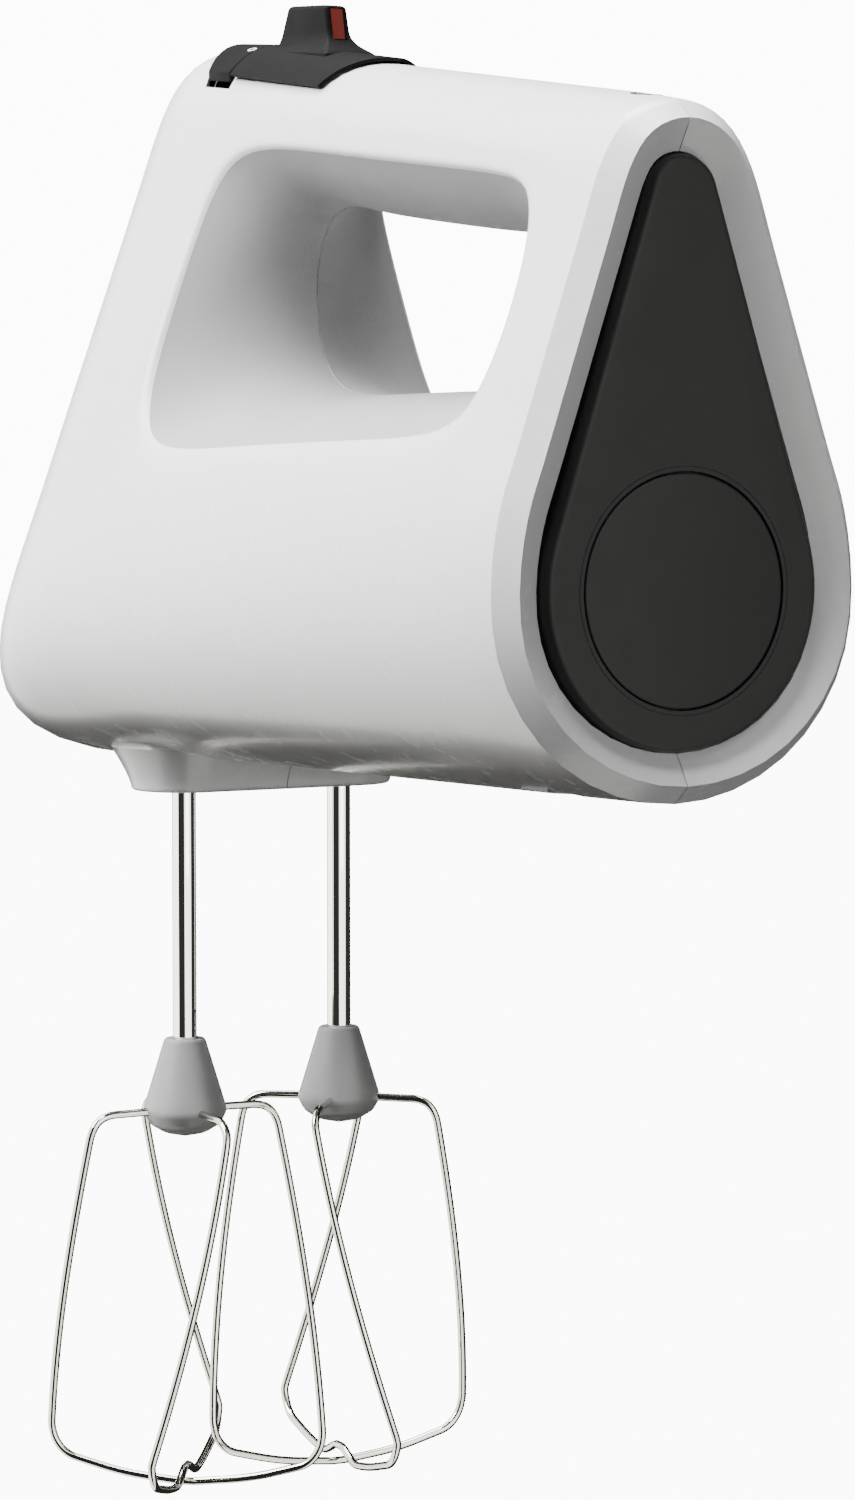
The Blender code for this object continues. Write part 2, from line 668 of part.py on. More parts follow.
def make_wheel(name, x, material):
    """A worm wheel whose bore clears its spindle."""
    outline = []
    for i in range(WHEEL_TEETH):
        pitch = 2 * math.pi / WHEEL_TEETH
        for radius, share in ((WHEEL_R - 1.9, -0.36), (WHEEL_R, -0.14),
                              (WHEEL_R, 0.14), (WHEEL_R - 1.9, 0.36)):
            turn = pitch * (i + share)
            outline.append((x + radius * math.cos(turn), SPINDLE_Y + radius * math.sin(turn), 0))
    rings = [[(px, py, z) for px, py, _ in outline] for z in (-4.0, 4.0)]
    wheel = stacked(name, rings, material, origin=(x, SPINDLE_Y, 0), smooth=30)
    combine(wheel, rod(f"{name}_bore", SPINDLE_R + GAP, -20, 20, (x, SPINDLE_Y, 0), None, sides=20))
    return wheel


def make_frames(grey, dark, brass, steel):
    """What holds the motor, the worm and the spindles in the housing."""
    cradle = box("motor_cradle", (-18, 62, -31), (18, 134, -28), grey)
    ribs = (((-18, 78, -30), (18, 100, -23.4)), ((-8, 130, -30), (8, 134, -14)))
    for i, (low, high) in enumerate(ribs):
        combine(cradle, box(f"cradle_rib_{i}", low, high, None), "UNION")
    front = box("front_bracket", (-17, 138, -13), (17, 141.5, 13), steel)
    combine(front, rod("front_bracket_hole", 6.5, 120, 150, (0, 0, 0), None, axis="Y"))
    rear = box("rear_bracket", (-12, 48, -24), (12, 51, 14), steel)
    combine(rear, rod("rear_bracket_hole", 6.5, 40, 60, (0, 0, 0), None, axis="Y"))
    front_bearing = sleeve("front_bearing", 2.8, 6.2, 137.5, 142, (0, 0, 0), brass, axis="Y", sides=16)
    rear_bearing = sleeve("rear_bearing", 2.8, 6.2, 47.5, 51.5, (0, 0, 0), brass, axis="Y", sides=16)
    plate = box("gear_frame", (-33, 148, 10.5), (33, 186, 13.5), grey)
    combine(plate, box("gear_frame_foot", (-6, 182, -6), (6, 185.5, 12), None), "UNION")
    combine(plate, rod("gear_frame_nose_hole", 2.9, 170, 200, (0, 0, 0), None, axis="Y", sides=12))
    made = [cradle, front, rear, front_bearing, rear_bearing, plate]
    bore = SPINDLE_R + GAP
    for side, x in (("left", -SPINDLE_X), ("right", SPINDLE_X)):
        axis = (x, SPINDLE_Y, 0)
        combine(plate, rod(f"{side}_frame_hole", 9.3, 0, 20, axis, None))
        made.append(sleeve(f"{side}_upper_bush", bore, 9.0, 9.0, 15.0, axis, brass))
        made.append(sleeve(f"{side}_lower_bush", bore, 8.9, -44.0, -38.0, axis, brass))
    return made


def make_brushes(dark, carbon, spring_steel):
    made = []
    for side, sign in (("left", -1), ("right", 1)):
        low, high = sorted((sign * 10.5, sign * 26))
        holder = box(f"{side}_brush_holder", (low, 59.5, -4), (high, 67.5, 4), dark)
        low, high = sorted((sign * 9, sign * 24.5))
        combine(holder, box(f"{side}_brush_slot", (low, 61, -2.5), (high, 66, 2.5), None))
        low, high = sorted((sign * 8.35, sign * 17.5))
        brush = box(f"{side}_carbon_brush", (low, 61.4, -2.1), (high, 65.6, 2.1), carbon)
        spring = coil(f"{side}_brush_spring", 1.45, sign * 18.3, sign * 23.7, 4,
                      (0, 63.5, 0), "X", 0.3, spring_steel, per_turn=8)
        made += [holder, brush, spring]
    return made


def make_electrics(dark, green, grey, brass, rubber):
    board = box("speed_board", (-1, 137, 80), (1, 149, 92), green)
    switch = box("speed_switch", (-6, 131, 92.2), (6, 145, 97.8), dark)
    block = box("terminal_block", (-7, 11, 52), (7, 18, 62), grey)
    clamp = box("cord_clamp", (-6, 11, 68), (6, 18, 71), grey)
    gland = sleeve("cord_gland", 1.9, 2.95, 84.0, 91.0, (0, 13, 0), rubber, sides=14)
    vent = box("vent_insert", (-15.0, 23.4, -37.9), (15.0, 32.6, -36.4), dark)
    for i in range(6):
        x = -12.5 + 5.0 * i
        combine(vent, box(f"vent_slit_{i}", (x - 1.2, 24.6, -45), (x + 1.2, 31.4, -30), None))
    return [board, switch, block, clamp, gland, vent]


# ---------------------------------------------------------------- spindles and whisks

def make_spindle(side, x, steel):
    origin = (x, SPINDLE_Y, 0)
    return sleeve(f"{side}_spindle", SPINDLE_BORE, SPINDLE_R, -46.2, 20.0, origin, steel, origin=origin)


def make_push_pin(side, x, steel):
    profile = [(1.9, SHAFT_TOP + 0.4), (1.9, 27.0), (4.4, 27.0), (4.4, 30.6)]
    return turned(f"{side}_push_pin", profile, (x, SPINDLE_Y, 0), steel, sides=12)


def arm_profile(steps=3, shoulder=5.0, foot=4.5, straight=7):
    """(radius, height) of a cage arm from the collar down to the bottom centre."""
    points = [(6.0, CAGE_TOP)]
    for i in range(steps + 1):
        turn = math.pi / 2 * 0.92 * i / steps
        points.append((CAGE_TOP_R - shoulder + shoulder * math.sin(turn),
                       CAGE_TOP - shoulder + shoulder * math.cos(turn)))
    for i in range(1, straight + 1):
        share = i / straight
        points.append((CAGE_TOP_R + (CAGE_LOW_R - CAGE_TOP_R) * share,
                       CAGE_TOP - shoulder + (CAGE_LOW - CAGE_TOP + shoulder) * share))
    for i in range(1, steps + 1):
        turn = math.pi / 2 * i / steps
        points.append((CAGE_LOW_R - foot + foot * math.cos(turn),
                       CAGE_LOW - foot * math.sin(turn) - 1.2 * i / steps))
    points.append((14.0, CAGE_BOTTOM + 1.4))
    points.append((5.0, CAGE_BOTTOM + 0.2))
    return points


def make_loop(name, x, phase, twist, hump, material):
    """One wire from the collar down, across the bottom and up to the collar again."""
    arm = arm_profile()
    drop = arm[0][1] - CAGE_LOW
    path = []
    for half in (0, 1):
        stretch = []
        for radius, height in arm:
            share = min(1.0, max(0.0, (CAGE_TOP - 3.0 - height) / (drop - 3.0)))
            turn = phase + twist * share + math.pi * half
            near = max(0.0, 1 - radius / 9.0) if height < CAGE_LOW else 0.0
            lift = hump * near ** 0.5
            stretch.append((x + radius * math.cos(turn), SPINDLE_Y + radius * math.sin(turn),
                            height + lift))
        path += stretch if half == 0 else stretch[::-1]
    return wire(name, path, WIRE_R, material)


def make_whisk(side, x, phase, twist, chrome, grey):
    axis = (x, SPINDLE_Y, 0)
    shaft = rod(f"{side}_whisk_shaft", SHAFT_R, SHAFT_END, SHAFT_TOP, axis, chrome, sides=14)
    profile = [(4.3, COLLAR_TOP), (9.0, COLLAR_WIDE), (9.0, COLLAR_WIDE - 0.6),
               (7.6, COLLAR_WIDE - 3.2), (4.6, COLLAR_BOTTOM + 0.9), (1.5, COLLAR_BOTTOM)]
    collar = turned(f"{side}_whisk_collar", profile, axis, grey, sides=18)
    combine(collar, rod(f"{side}_collar_bore", SHAFT_R + GAP, SHAFT_END - 0.4, -90, axis, None,
                        sides=14))
    for i in range(2):
        drill = rod(f"{side}_wire_hole_{i}", WIRE_R + 0.35, -14, 14, (0, 0, 0), None, sides=8)
        drill.rotation_euler = (math.pi / 2, 0, phase + math.pi / 2 * (i + 1))
        drill.location = Vector((x, SPINDLE_Y, CAGE_TOP)) * MM
        combine(collar, drill)
    loops = [make_loop(f"{side}_whisk_loop_{n}", x, phase + math.pi / 2 * i, twist, 3.6 * i, chrome)
             for i, n in enumerate("ab")]
    return [shaft, collar, *loops]


# ---------------------------------------------------------------- assembly

def main():
    for old in list(bpy.data.objects):
        bpy.data.objects.remove(old, do_unlink=True)
    white = finish("gloss_white_plastic", (0.80, 0.80, 0.80), 0.22)
    dark = finish("dark_grey_plastic", (0.035, 0.035, 0.036), 0.45)
    grey = finish("mid_grey_plastic", (0.36, 0.36, 0.37), 0.40)
    rubber = finish("black_rubber", (0.02, 0.02, 0.02), 0.70)
    red = finish("red_marker", (0.42, 0.06, 0.05), 0.40)
    chrome = finish("chromed_steel", (0.80, 0.79, 0.76), 0.12, 1.0)
    steel = finish("plain_steel", (0.55, 0.55, 0.56), 0.35, 1.0)
    iron = finish("laminated_iron", (0.20, 0.20, 0.21), 0.50, 0.8)
    copper = finish("copper_winding", (0.45, 0.18, 0.08), 0.40, 0.9)
    brass = finish("sintered_bronze", (0.50, 0.36, 0.16), 0.40, 0.9)
    carbon = finish("carbon", (0.03, 0.03, 0.03), 0.60)
    green = finish("circuit_board", (0.03, 0.16, 0.07), 0.50)

    make_housing(white)
    make_rear_end(dark, steel)
    make_electrics(dark, green, grey, brass, rubber)
    make_frames(grey, dark, brass, steel)
    make_stator(iron, copper)
    make_brushes(dark, carbon, steel)

    crown_axis = (0, 134, crown_top(134) - CAP_AXIS)
    carry("selector_axis", crown_axis, make_selector(dark, red))
    ejector_rod, yoke, _ = make_ejector(dark, steel, steel)
    carry("ejector_travel", (0, 158, 0), [make_eject_button(dark), ejector_rod, yoke])
    carry("rotor_axis", (0, 0, 0), make_rotor(steel, iron, copper, dark, brass))
    sides = (("left", -SPINDLE_X, math.radians(-3.0), TWIST),
             ("right", SPINDLE_X, math.radians(-43.2), -TWIST))
    for side, x, phase, twist in sides:
        axis = (x, SPINDLE_Y, 0)
        carry(f"{side}_spindle_axis", axis,
              [make_spindle(side, x, steel), make_wheel(f"{side}_worm_wheel", x, grey)])
        carry(f"{side}_pin_travel", axis, [make_push_pin(side, x, steel)])
        carry(f"{side}_whisk_axis", axis, make_whisk(side, x, phase, twist, chrome, grey))


main()
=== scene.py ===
"""Looks of the hand mixer: fine shells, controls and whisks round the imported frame, with studio light.

Lengths are in millimetres in the frame's own axes: +Y runs to the nose, +X is the user's right hand and
+Z is up. MM turns them into metres where an object is made.
"""
import json
import math

import bmesh
import bpy
from mathutils import Matrix, Vector


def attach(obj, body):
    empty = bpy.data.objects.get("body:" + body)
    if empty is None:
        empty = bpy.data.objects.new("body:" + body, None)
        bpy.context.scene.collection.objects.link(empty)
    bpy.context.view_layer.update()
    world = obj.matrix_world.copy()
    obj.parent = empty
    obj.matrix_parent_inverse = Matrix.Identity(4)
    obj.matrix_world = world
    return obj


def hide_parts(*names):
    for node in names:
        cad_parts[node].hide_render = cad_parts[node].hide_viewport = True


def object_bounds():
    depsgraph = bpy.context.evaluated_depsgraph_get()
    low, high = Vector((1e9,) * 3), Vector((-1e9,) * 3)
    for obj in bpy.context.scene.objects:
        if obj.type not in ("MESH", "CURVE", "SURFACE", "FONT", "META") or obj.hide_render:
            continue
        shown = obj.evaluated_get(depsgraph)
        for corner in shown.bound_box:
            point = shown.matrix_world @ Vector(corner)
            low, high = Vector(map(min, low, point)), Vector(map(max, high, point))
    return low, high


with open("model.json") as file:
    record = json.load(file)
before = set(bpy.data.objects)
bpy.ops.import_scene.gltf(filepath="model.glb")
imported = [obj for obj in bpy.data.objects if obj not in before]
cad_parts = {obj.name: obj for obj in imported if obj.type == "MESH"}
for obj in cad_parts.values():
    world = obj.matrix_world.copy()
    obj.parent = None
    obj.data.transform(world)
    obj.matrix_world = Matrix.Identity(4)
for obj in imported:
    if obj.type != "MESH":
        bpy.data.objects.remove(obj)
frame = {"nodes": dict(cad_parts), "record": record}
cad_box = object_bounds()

MM = 0.001

# Housing section: a round crown, two leaning flanks and a round belly
LEAN = math.radians(18.8)
TOP_REAR, TOP_RISE = 89.7, 0.133
BELLY_REAR, BELLY_RISE = -39.8, -0.0090
REACH_REAR, REACH_RISE = 40.8, 0.0323
CORNER_REAR, CORNER_RISE = 39.9, -0.060
BROW_START, BROW_DROP = 152.0, 0.0026
WALL = 1.0
PARTING = 0.11                   # half the gap between the two shells
FINE = 2                         # subdivision level of the shells

# Rear end
RIM_Y, DISH_Y, RECESS_Y = -1.2, 2.5, 7.0
RIM_INSET, PLATE_INSET = 3.6, 9.5
PLATE_GAP = 0.4
DISC_R, DISC_SEAT_R, DISC_THICK = 21.65, 22.0, 1.8
DISC_BEAD_R = 22.85

# Whisks and skirt
SPINDLE_X, SPINDLE_Y = 19.0, 163.2
SKIRT_R, SKIRT_BOTTOM = 11.35, -46.8
SKIRT_EDGE = 1.1                 # radius of the skirt's lower edge
SKIRT_FLARE, SKIRT_RISE = 4.3, 8.4   # how far it spreads, and over what height
SKIRT_TOP_R, SKIRT_TOP = SKIRT_R + 3.4, -34.6   # its last ring, inside the housing
SKIRT_INSIDE_R, SKIRT_FLOOR = 9.2, -44.4
SOCKET_R = 7.4
SHAFT_R, SHAFT_TOP, SHAFT_END = 2.57, -12.0, -118.2
WIRE_R = 0.88
COLLAR_TOP, COLLAR_WIDE, COLLAR_BOTTOM = -100.2, -115.7, -121.6
CAGE_TOP_R, CAGE_LOW_R = 22.0, 30.3
CAGE_TOP, CAGE_LOW, CAGE_BOTTOM = -115.8, -187.0, -197.2
TWIST = math.radians(-38.4)

# Controls on the crown
CAP_FRONT, CAP_SPLIT, CAP_REAR, CAP_TAIL = 170.5, 152.0, 114.0, 103.5
CAP_SPREAD = math.radians(54)
CAP_AXIS = 15.3
CAP_IN, CAP_OUT = 15.85, 16.6
FIN_TOP = 118.6
CAP_SLANT = 8.0                  # the front edge lies this much further back at the sides
BUTTON_SPREAD, BUTTON_DEPTH = math.radians(52), 2.0
BUTTON_HALF = CAP_OUT * math.sin(BUTTON_SPREAD)
STEM_HALF, STEM_REAR, STEM_FRONT = 9.3, 131, 139     # the slot the selector's stem turns in
CORD_HOLE_R, CORD_Y = 3.3, 13.0

# Tools that cut the shells end clear of them at these places
PAST_LOW, PAST_HIGH = (-80, -20, -70), (80, 240, 140)
PAST_CROWN, PAST_BELLY, ABOVE_BELLY = 125, -50, -30


def crown_top(y):
    return TOP_REAR + TOP_RISE * y - BROW_DROP * max(0.0, y - BROW_START) ** 2


def belly(y):
    return BELLY_REAR + BELLY_RISE * y


def reach(y):
    return REACH_REAR + REACH_RISE * y


def crown_r(y):
    return (reach(y) - crown_top(y) * math.sin(LEAN)) / (1 - math.sin(LEAN))


def crown_z(y):
    return crown_top(y) - crown_r(y)


def flank_x(y, z):
    return (reach(y) - z * math.sin(LEAN)) / math.cos(LEAN)


def belly_circle(y):
    """(x, z, radius) of the circle that turns the flank into the belly."""
    radius = CORNER_REAR + CORNER_RISE * y
    z = belly(y) + radius
    x = (reach(y) - radius - z * math.sin(LEAN)) / math.cos(LEAN)
    return max(x, 0.0), z, radius


# ---------------------------------------------------------------- materials

class Recipe:
    """A Principled material whose colour, roughness and bump come from procedural textures."""

    def __init__(self, name, metallic=0.0, coat=0.0, specular=0.5):
        self.material = bpy.data.materials.new(name)
        self.material.use_nodes = True
        self.tree = self.material.node_tree
        self.shader = self.tree.nodes["Principled BSDF"]
        self.shader.inputs["Metallic"].default_value = metallic
        self.shader.inputs["Coat Weight"].default_value = coat
        self.shader.inputs["Coat Roughness"].default_value = 0.08
        self.shader.inputs["Specular IOR Level"].default_value = specular
        self.place = self.tree.nodes.new("ShaderNodeTexCoord").outputs["Object"]

    def stretched(self, scale):
        mapping = self.tree.nodes.new("ShaderNodeMapping")
        mapping.inputs["Scale"].default_value = scale
        self.tree.links.new(self.place, mapping.inputs["Vector"])
        return mapping.outputs["Vector"]

    def noise(self, scale, detail=2.0, stretch=(1, 1, 1)):
        node = self.tree.nodes.new("ShaderNodeTexNoise")
        node.inputs["Scale"].default_value = scale
        node.inputs["Detail"].default_value = detail
        self.tree.links.new(self.stretched(stretch), node.inputs["Vector"])
        return node.outputs["Fac"]

    def bands(self, scale, axis):
        node = self.tree.nodes.new("ShaderNodeTexWave")
        node.bands_direction = axis
        node.inputs["Scale"].default_value = scale
        self.tree.links.new(self.place, node.inputs["Vector"])
        return node.outputs["Fac"]

    def colours(self, factor, dark, light, low=0.3, high=0.7):
        ramp = self.tree.nodes.new("ShaderNodeValToRGB")
        ramp.color_ramp.elements[0].position = low
        ramp.color_ramp.elements[1].position = high
        ramp.color_ramp.elements[0].color = (*dark, 1)
        ramp.color_ramp.elements[1].color = (*light, 1)
        self.tree.links.new(factor, ramp.inputs["Fac"])
        self.tree.links.new(ramp.outputs["Color"], self.shader.inputs["Base Color"])

    def roughness(self, factor, low, high):
        span = self.tree.nodes.new("ShaderNodeMapRange")
        span.inputs["From Min"].default_value = 0.3
        span.inputs["From Max"].default_value = 0.7
        span.inputs["To Min"].default_value = low
        span.inputs["To Max"].default_value = high
        self.tree.links.new(factor, span.inputs["Value"])
        self.tree.links.new(span.outputs["Result"], self.shader.inputs["Roughness"])

    def bump(self, factor, depth_mm):
        node = self.tree.nodes.new("ShaderNodeBump")
        node.inputs["Strength"].default_value = 1.0
        node.inputs["Distance"].default_value = depth_mm * MM
        self.tree.links.new(factor, node.inputs["Height"])
        self.tree.links.new(node.outputs["Normal"], self.shader.inputs["Normal"])


def shade(colour, factor):
    return tuple(min(1.0, c * factor) for c in colour)


def moulded(name, colour, rough, grain_scale, grain_mm, spread=0.03, coat=0.0, specular=0.5):
    """Moulded plastic: a faint mottle, a fine grain and a slow waviness of the gloss."""
    made = Recipe(name, coat=coat, specular=specular)
    made.colours(made.noise(60), shade(colour, 1 - spread), shade(colour, 1 + spread))
    made.roughness(made.noise(140), rough * 0.9, rough * 1.1)
    made.bump(made.noise(grain_scale, 3.0), grain_mm)
    return made.material


def polished(name, colour, rough, stretch, scratch_mm):
    """Bright metal with fine lines along one direction."""
    made = Recipe(name, metallic=1.0)
    made.colours(made.noise(90), shade(colour, 0.97), shade(colour, 1.02))
    made.roughness(made.noise(400, 3.0, stretch), rough * 0.8, rough * 1.25)
    made.bump(made.noise(900, 2.0, stretch), scratch_mm)
    return made.material


def banded(name, dark, light, scale, axis, rough, metallic, depth_mm):
    """Stacked sheets or wound wire: bands across one axis."""
    made = Recipe(name, metallic=metallic)
    stripes = made.bands(scale, axis)
    made.colours(stripes, dark, light, 0.2, 0.8)
    made.roughness(made.noise(300), rough * 0.85, rough * 1.15)
    made.bump(stripes, depth_mm)
    return made.material


def make_materials():
    steel_lines = (1.0, 1.0, 0.05)
    return {
        "shell": moulded("white_gloss_plastic", (0.76, 0.76, 0.765), 0.26, 1500, 0.004, 0.012, coat=0.12,
                         specular=0.35),
        # Inner wall of the hand opening: the shell's white plastic with its real grain, but its colour is
        # darkened to paint in the shade that falls inside the opening
        "tunnel": moulded("grained_plastic_with_painted_shade", (0.34, 0.34, 0.342), 0.6, 2600, 0.05, 0.02,
                          specular=0.15),
        "housing_white": moulded("white_plastic", (0.76, 0.76, 0.765), 0.3, 1500, 0.004, 0.012),
        "control_dark": moulded("control_plastic", (0.0065, 0.0065, 0.0067), 0.55, 2200, 0.012, 0.08,
                                specular=0.02),
        "plate_dark": moulded("plate_plastic", (0.023, 0.023, 0.0233), 0.45, 2400, 0.016, 0.08,
                              specular=0.12),
        "marker_red": moulded("marker_plastic", (0.13, 0.012, 0.008), 0.4, 1800, 0.006, 0.06,
                              specular=0.15),
        "mark_white": moulded("printed_white", (0.85, 0.85, 0.85), 0.45, 1800, 0.004, 0.02),
        "collar_grey": moulded("collar_plastic", (0.30, 0.30, 0.303), 0.40, 1800, 0.008, 0.03,
                               specular=0.3),
        "whisk_chrome": polished("whisk_chrome", (0.93, 0.92, 0.88), 0.05, steel_lines, 0.0015),
        "whisk_wire": polished("whisk_wire", (0.52, 0.51, 0.47), 0.10, steel_lines, 0.0015),
        "gland_rubber": moulded("gland_rubber", (0.018, 0.018, 0.018), 0.6, 1200, 0.03, 0.1),
        "inner_steel": polished("inner_steel", (0.55, 0.55, 0.56), 0.3, steel_lines, 0.004),
        "laminated_iron": banded("laminated_iron", (0.13, 0.13, 0.135), (0.27, 0.27, 0.28), 320, "Y",
                                 0.45, 0.9, 0.05),
        "copper": banded("wound_copper", (0.32, 0.10, 0.04), (0.62, 0.26, 0.12), 260, "X", 0.3, 0.8, 0.1),
        "bronze": polished("sintered_bronze", (0.5, 0.36, 0.16), 0.4, (1, 1, 1), 0.01),
        "carbon": moulded("pressed_carbon", (0.03, 0.03, 0.03), 0.6, 900, 0.02, 0.2),
        "circuit_board": moulded("circuit_board", (0.03, 0.16, 0.07), 0.35, 700, 0.01, 0.2),
        "inner_grey": moulded("inner_grey_plastic", (0.36, 0.36, 0.37), 0.45, 1200, 0.01, 0.04),
        "inner_dark": moulded("inner_dark_plastic", (0.035, 0.035, 0.036), 0.5, 1200, 0.01, 0.1),
    }


MATERIALS = make_materials()
SLOT_OF = {part["node"]: part["material_slot"] for part in frame["record"]["subparts"]}


# ---------------------------------------------------------------- mesh helpers

def solid(name, points, faces, material=None, smooth=40):
    """A closed mesh object from points in mm."""
    mesh = bpy.data.meshes.new(name)
    mesh.from_pydata([Vector(p) * MM for p in points], [], faces)
    edit = bmesh.new()
    edit.from_mesh(mesh)
    bmesh.ops.recalc_face_normals(edit, faces=edit.faces)
    edit.to_mesh(mesh)
    edit.free()
    mesh.shade_smooth()
    mesh.set_sharp_from_angle(angle=math.radians(smooth))
    made = bpy.data.objects.new(name, mesh)
    bpy.context.scene.collection.objects.link(made)
    if material:
        mesh.materials.append(MATERIALS[material])
    return made


def stacked(name, rings, material=None, closed=False, **options):
    """Skins rings of equal count one to the next; the ends are capped unless the stack closes."""
    count = len(rings[0])
    points = [p for ring in rings for p in ring]
    faces = []
    last = len(rings) if closed else len(rings) - 1
    for i in range(last):
        a, b = i * count, (i + 1) % len(rings) * count
        for j in range(count):
            k = (j + 1) % count
            faces.append((a + j, a + k, b + k, b + j))
    if not closed:
        faces.append(tuple(range(count)))
        faces.append(tuple(range(len(points) - count, len(points))))
    return solid(name, points, faces, material, **options)


def box(name, low, high):
    (x0, y0, z0), (x1, y1, z1) = low, high
    return stacked(name, [[(x0, y0, z), (x1, y0, z), (x1, y1, z), (x0, y1, z)] for z in (z0, z1)])


def turned(name, profile, centre, material=None, axis="Z", sides=64, hollow=False, **options):
    """A solid of revolution. profile is (radius, height) pairs; a hollow one is a closed loop."""
    base = Vector(centre)
    rings = []
    for radius, height in profile:
        ring = []
        for j in range(sides):
            turn = 2 * math.pi * j / sides
            a, b = radius * math.cos(turn), radius * math.sin(turn)
            ring.append(base + Vector((a, b, height) if axis == "Z" else (b, height, a)))
        rings.append(ring)
    return stacked(name, rings, material, closed=hollow, **options)


def rounded(corners, radius, steps=4):
    """Rounds the corners of an open (a, b) outline with arcs; the ends stay as they are."""
    out = [corners[0]]
    for before, corner, after in zip(corners, corners[1:], corners[2:]):
        here = Vector(corner)
        back, ahead = Vector(before) - here, Vector(after) - here
        cut = min(radius, back.length * 0.49, ahead.length * 0.49)
        start, end = here + back.normalized() * cut, here + ahead.normalized() * cut
        for i in range(steps + 1):
            t = i / steps
            out.append(tuple(start * (1 - t) ** 2 + here * (2 * t * (1 - t)) + end * t ** 2))
    out.append(corners[-1])
    return out


def evaluated(made):
    """Applies every modifier of an object."""
    graph = bpy.context.evaluated_depsgraph_get()
    mesh = bpy.data.meshes.new_from_object(made.evaluated_get(graph))
    made.modifiers.clear()
    made.data = mesh
    return made


def discard(*objects):
    for made in objects:
        bpy.data.objects.remove(made)


def cut(target, *tools, operation="DIFFERENCE"):
    """Applies Booleans with the tools, one after another, and removes the tools."""
    for tool in tools:
        step = target.modifiers.new(tool.name, "BOOLEAN")
        step.operation = operation
        step.solver = "EXACT"
        step.object = tool
    evaluated(target)
    discard(*tools)
    return target


def smooth_by_angle(made, degrees):
    made.data.shade_smooth()
    made.data.set_sharp_from_angle(angle=math.radians(degrees))
    return made


def place(made, body, slot, *replaced):
    """Rides a finished piece on its body and hides the frame parts it stands for."""
    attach(made, body)
    if replaced:
        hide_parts(*replaced)
    return made


# ---------------------------------------------------------------- housing

ROW_TURN = math.radians(36)
ROUND_UP = 3 / (2 + math.cos(ROW_TURN))
BELLY_TRIM = 0.993               # keeps the finer surface inside the coarse one's size
JAW, JAW_START = 0.075, 152.0
HALF_ROWS = 12
OPEN_TOP_ROW, OPEN_LOW_ROW = 4, 8
OPEN_FIRST, OPEN_LAST = 5, 11
BEVEL_Y = 3.0
STATIONS = [RECESS_Y, DISH_Y, RIM_Y, BEVEL_Y, 11.0, 21, 37, 60, 85, 112, 136, 150, 159, 171, 182]
NOSE = [(190.0, 0.93), (195.5, 0.80), (198.4, 0.45)]
NOSE_LEAN, NOSE_TUCK, NOSE_MIDDLE = 0.085, 1.0, 30.0
NOSE_START, NOSE_LENGTH = 150, 40
TUCK_START, TUCK_SPAN = 18, 24   # how far below Z 0 the nose starts to tuck in, and over what height
RIM_CREASE = 1.0
CORNER_OUT = 1.02                # pushes the rows where a flank meets a round out by this factor
FLANK_ROWS = 7


def row_point(row, y, inset=0.0, flank_z=None):
    """(x, z) of a control row on the section at y, for x >= 0."""
    low_x, low_z, low_r = belly_circle(y)
    normal = math.pi / 2 - LEAN
    if row <= 2:
        turn = (0.0, ROW_TURN, normal)[row]
        radius = (crown_r(y) - inset) * (CORNER_OUT if row == 2 else ROUND_UP)
        return radius * math.sin(turn), crown_z(y) + radius * math.cos(turn)
    if row >= 9:
        turn = (normal, normal + ROW_TURN, normal + 2 * ROW_TURN, math.pi)[row - 9]
        radius = (low_r - inset) * (CORNER_OUT if row == 9 else ROUND_UP) * BELLY_TRIM
        if row in (10, 11):
            radius *= 1 + JAW * min(1.0, max(0.0, (y - JAW_START) / 30))
        x = 0.0 if row == HALF_ROWS else low_x + radius * math.sin(turn)
        return x, low_z + radius * math.cos(turn)
    upper = crown_z(y) + (crown_r(y) - inset) * math.cos(normal)
    lower = low_z + (low_r - inset) * math.cos(normal)
    z = flank_z if flank_z is not None else upper + (lower - upper) * (row - 2) / FLANK_ROWS
    return flank_x(y, z) - inset / math.cos(LEAN), z


def opening_loop(top, low, rear, front):
    """(station, row) -> (y, z) round a loop of the hand opening."""
    edge = {}
    for i, station in enumerate(range(OPEN_FIRST, OPEN_LAST + 1)):
        edge[station, OPEN_TOP_ROW] = top[i]
        edge[station, OPEN_LOW_ROW] = low[i]
    for row in (5, 6, 7):
        edge[OPEN_FIRST, row] = rear[row - 5]
        edge[OPEN_LAST, row] = front[row - 5]
    return edge


def opening_outline():
    """The opening's edge on the flank."""
    return opening_loop(
        [(25.0, 75.5), (37, 78.2), (59, 80.7), (85, 83.6), (112, 86.8), (134, 89.0), (146, 86.0)],
        [(25.0, 30.5), (39, 27.4), (60, 27.0), (85, 26.4), (110, 25.6), (134, 24.6), (147.5, 27.6)],
        [(20.6, 66), (19.4, 54), (20.4, 42)],
        [(149.4, 73.5), (150.2, 58), (151.2, 41.5)])


def opening_waist():
    """The opening's narrowest loop, on the mid-plane."""
    return opening_loop(
        [(33.5, 64.5), (45, 65.4), (63, 66.8), (85, 69.3), (104, 71.5), (118, 74.6), (128.5, 74.6)],
        [(34, 39.2), (45, 38.6), (62, 38.6), (82, 38.6), (100, 38.4), (116, 38.2), (127.5, 40.0)],
        [(30, 59.5), (28.8, 52), (30, 44.5)],
        [(135, 68.5), (138, 57.5), (134.6, 46.5)])


def nose_y(y, z):
    """Moves a nose point back where the nose leans, more the nearer it is to the tip."""
    amount = max(0.0, min(1.0, (y - NOSE_START) / NOSE_LENGTH))
    tuck = NOSE_TUCK * max(0.0, -(z + TUCK_START) / TUCK_SPAN) ** 2
    return y - amount * (NOSE_LEAN * max(z, -TUCK_START) + tuck)


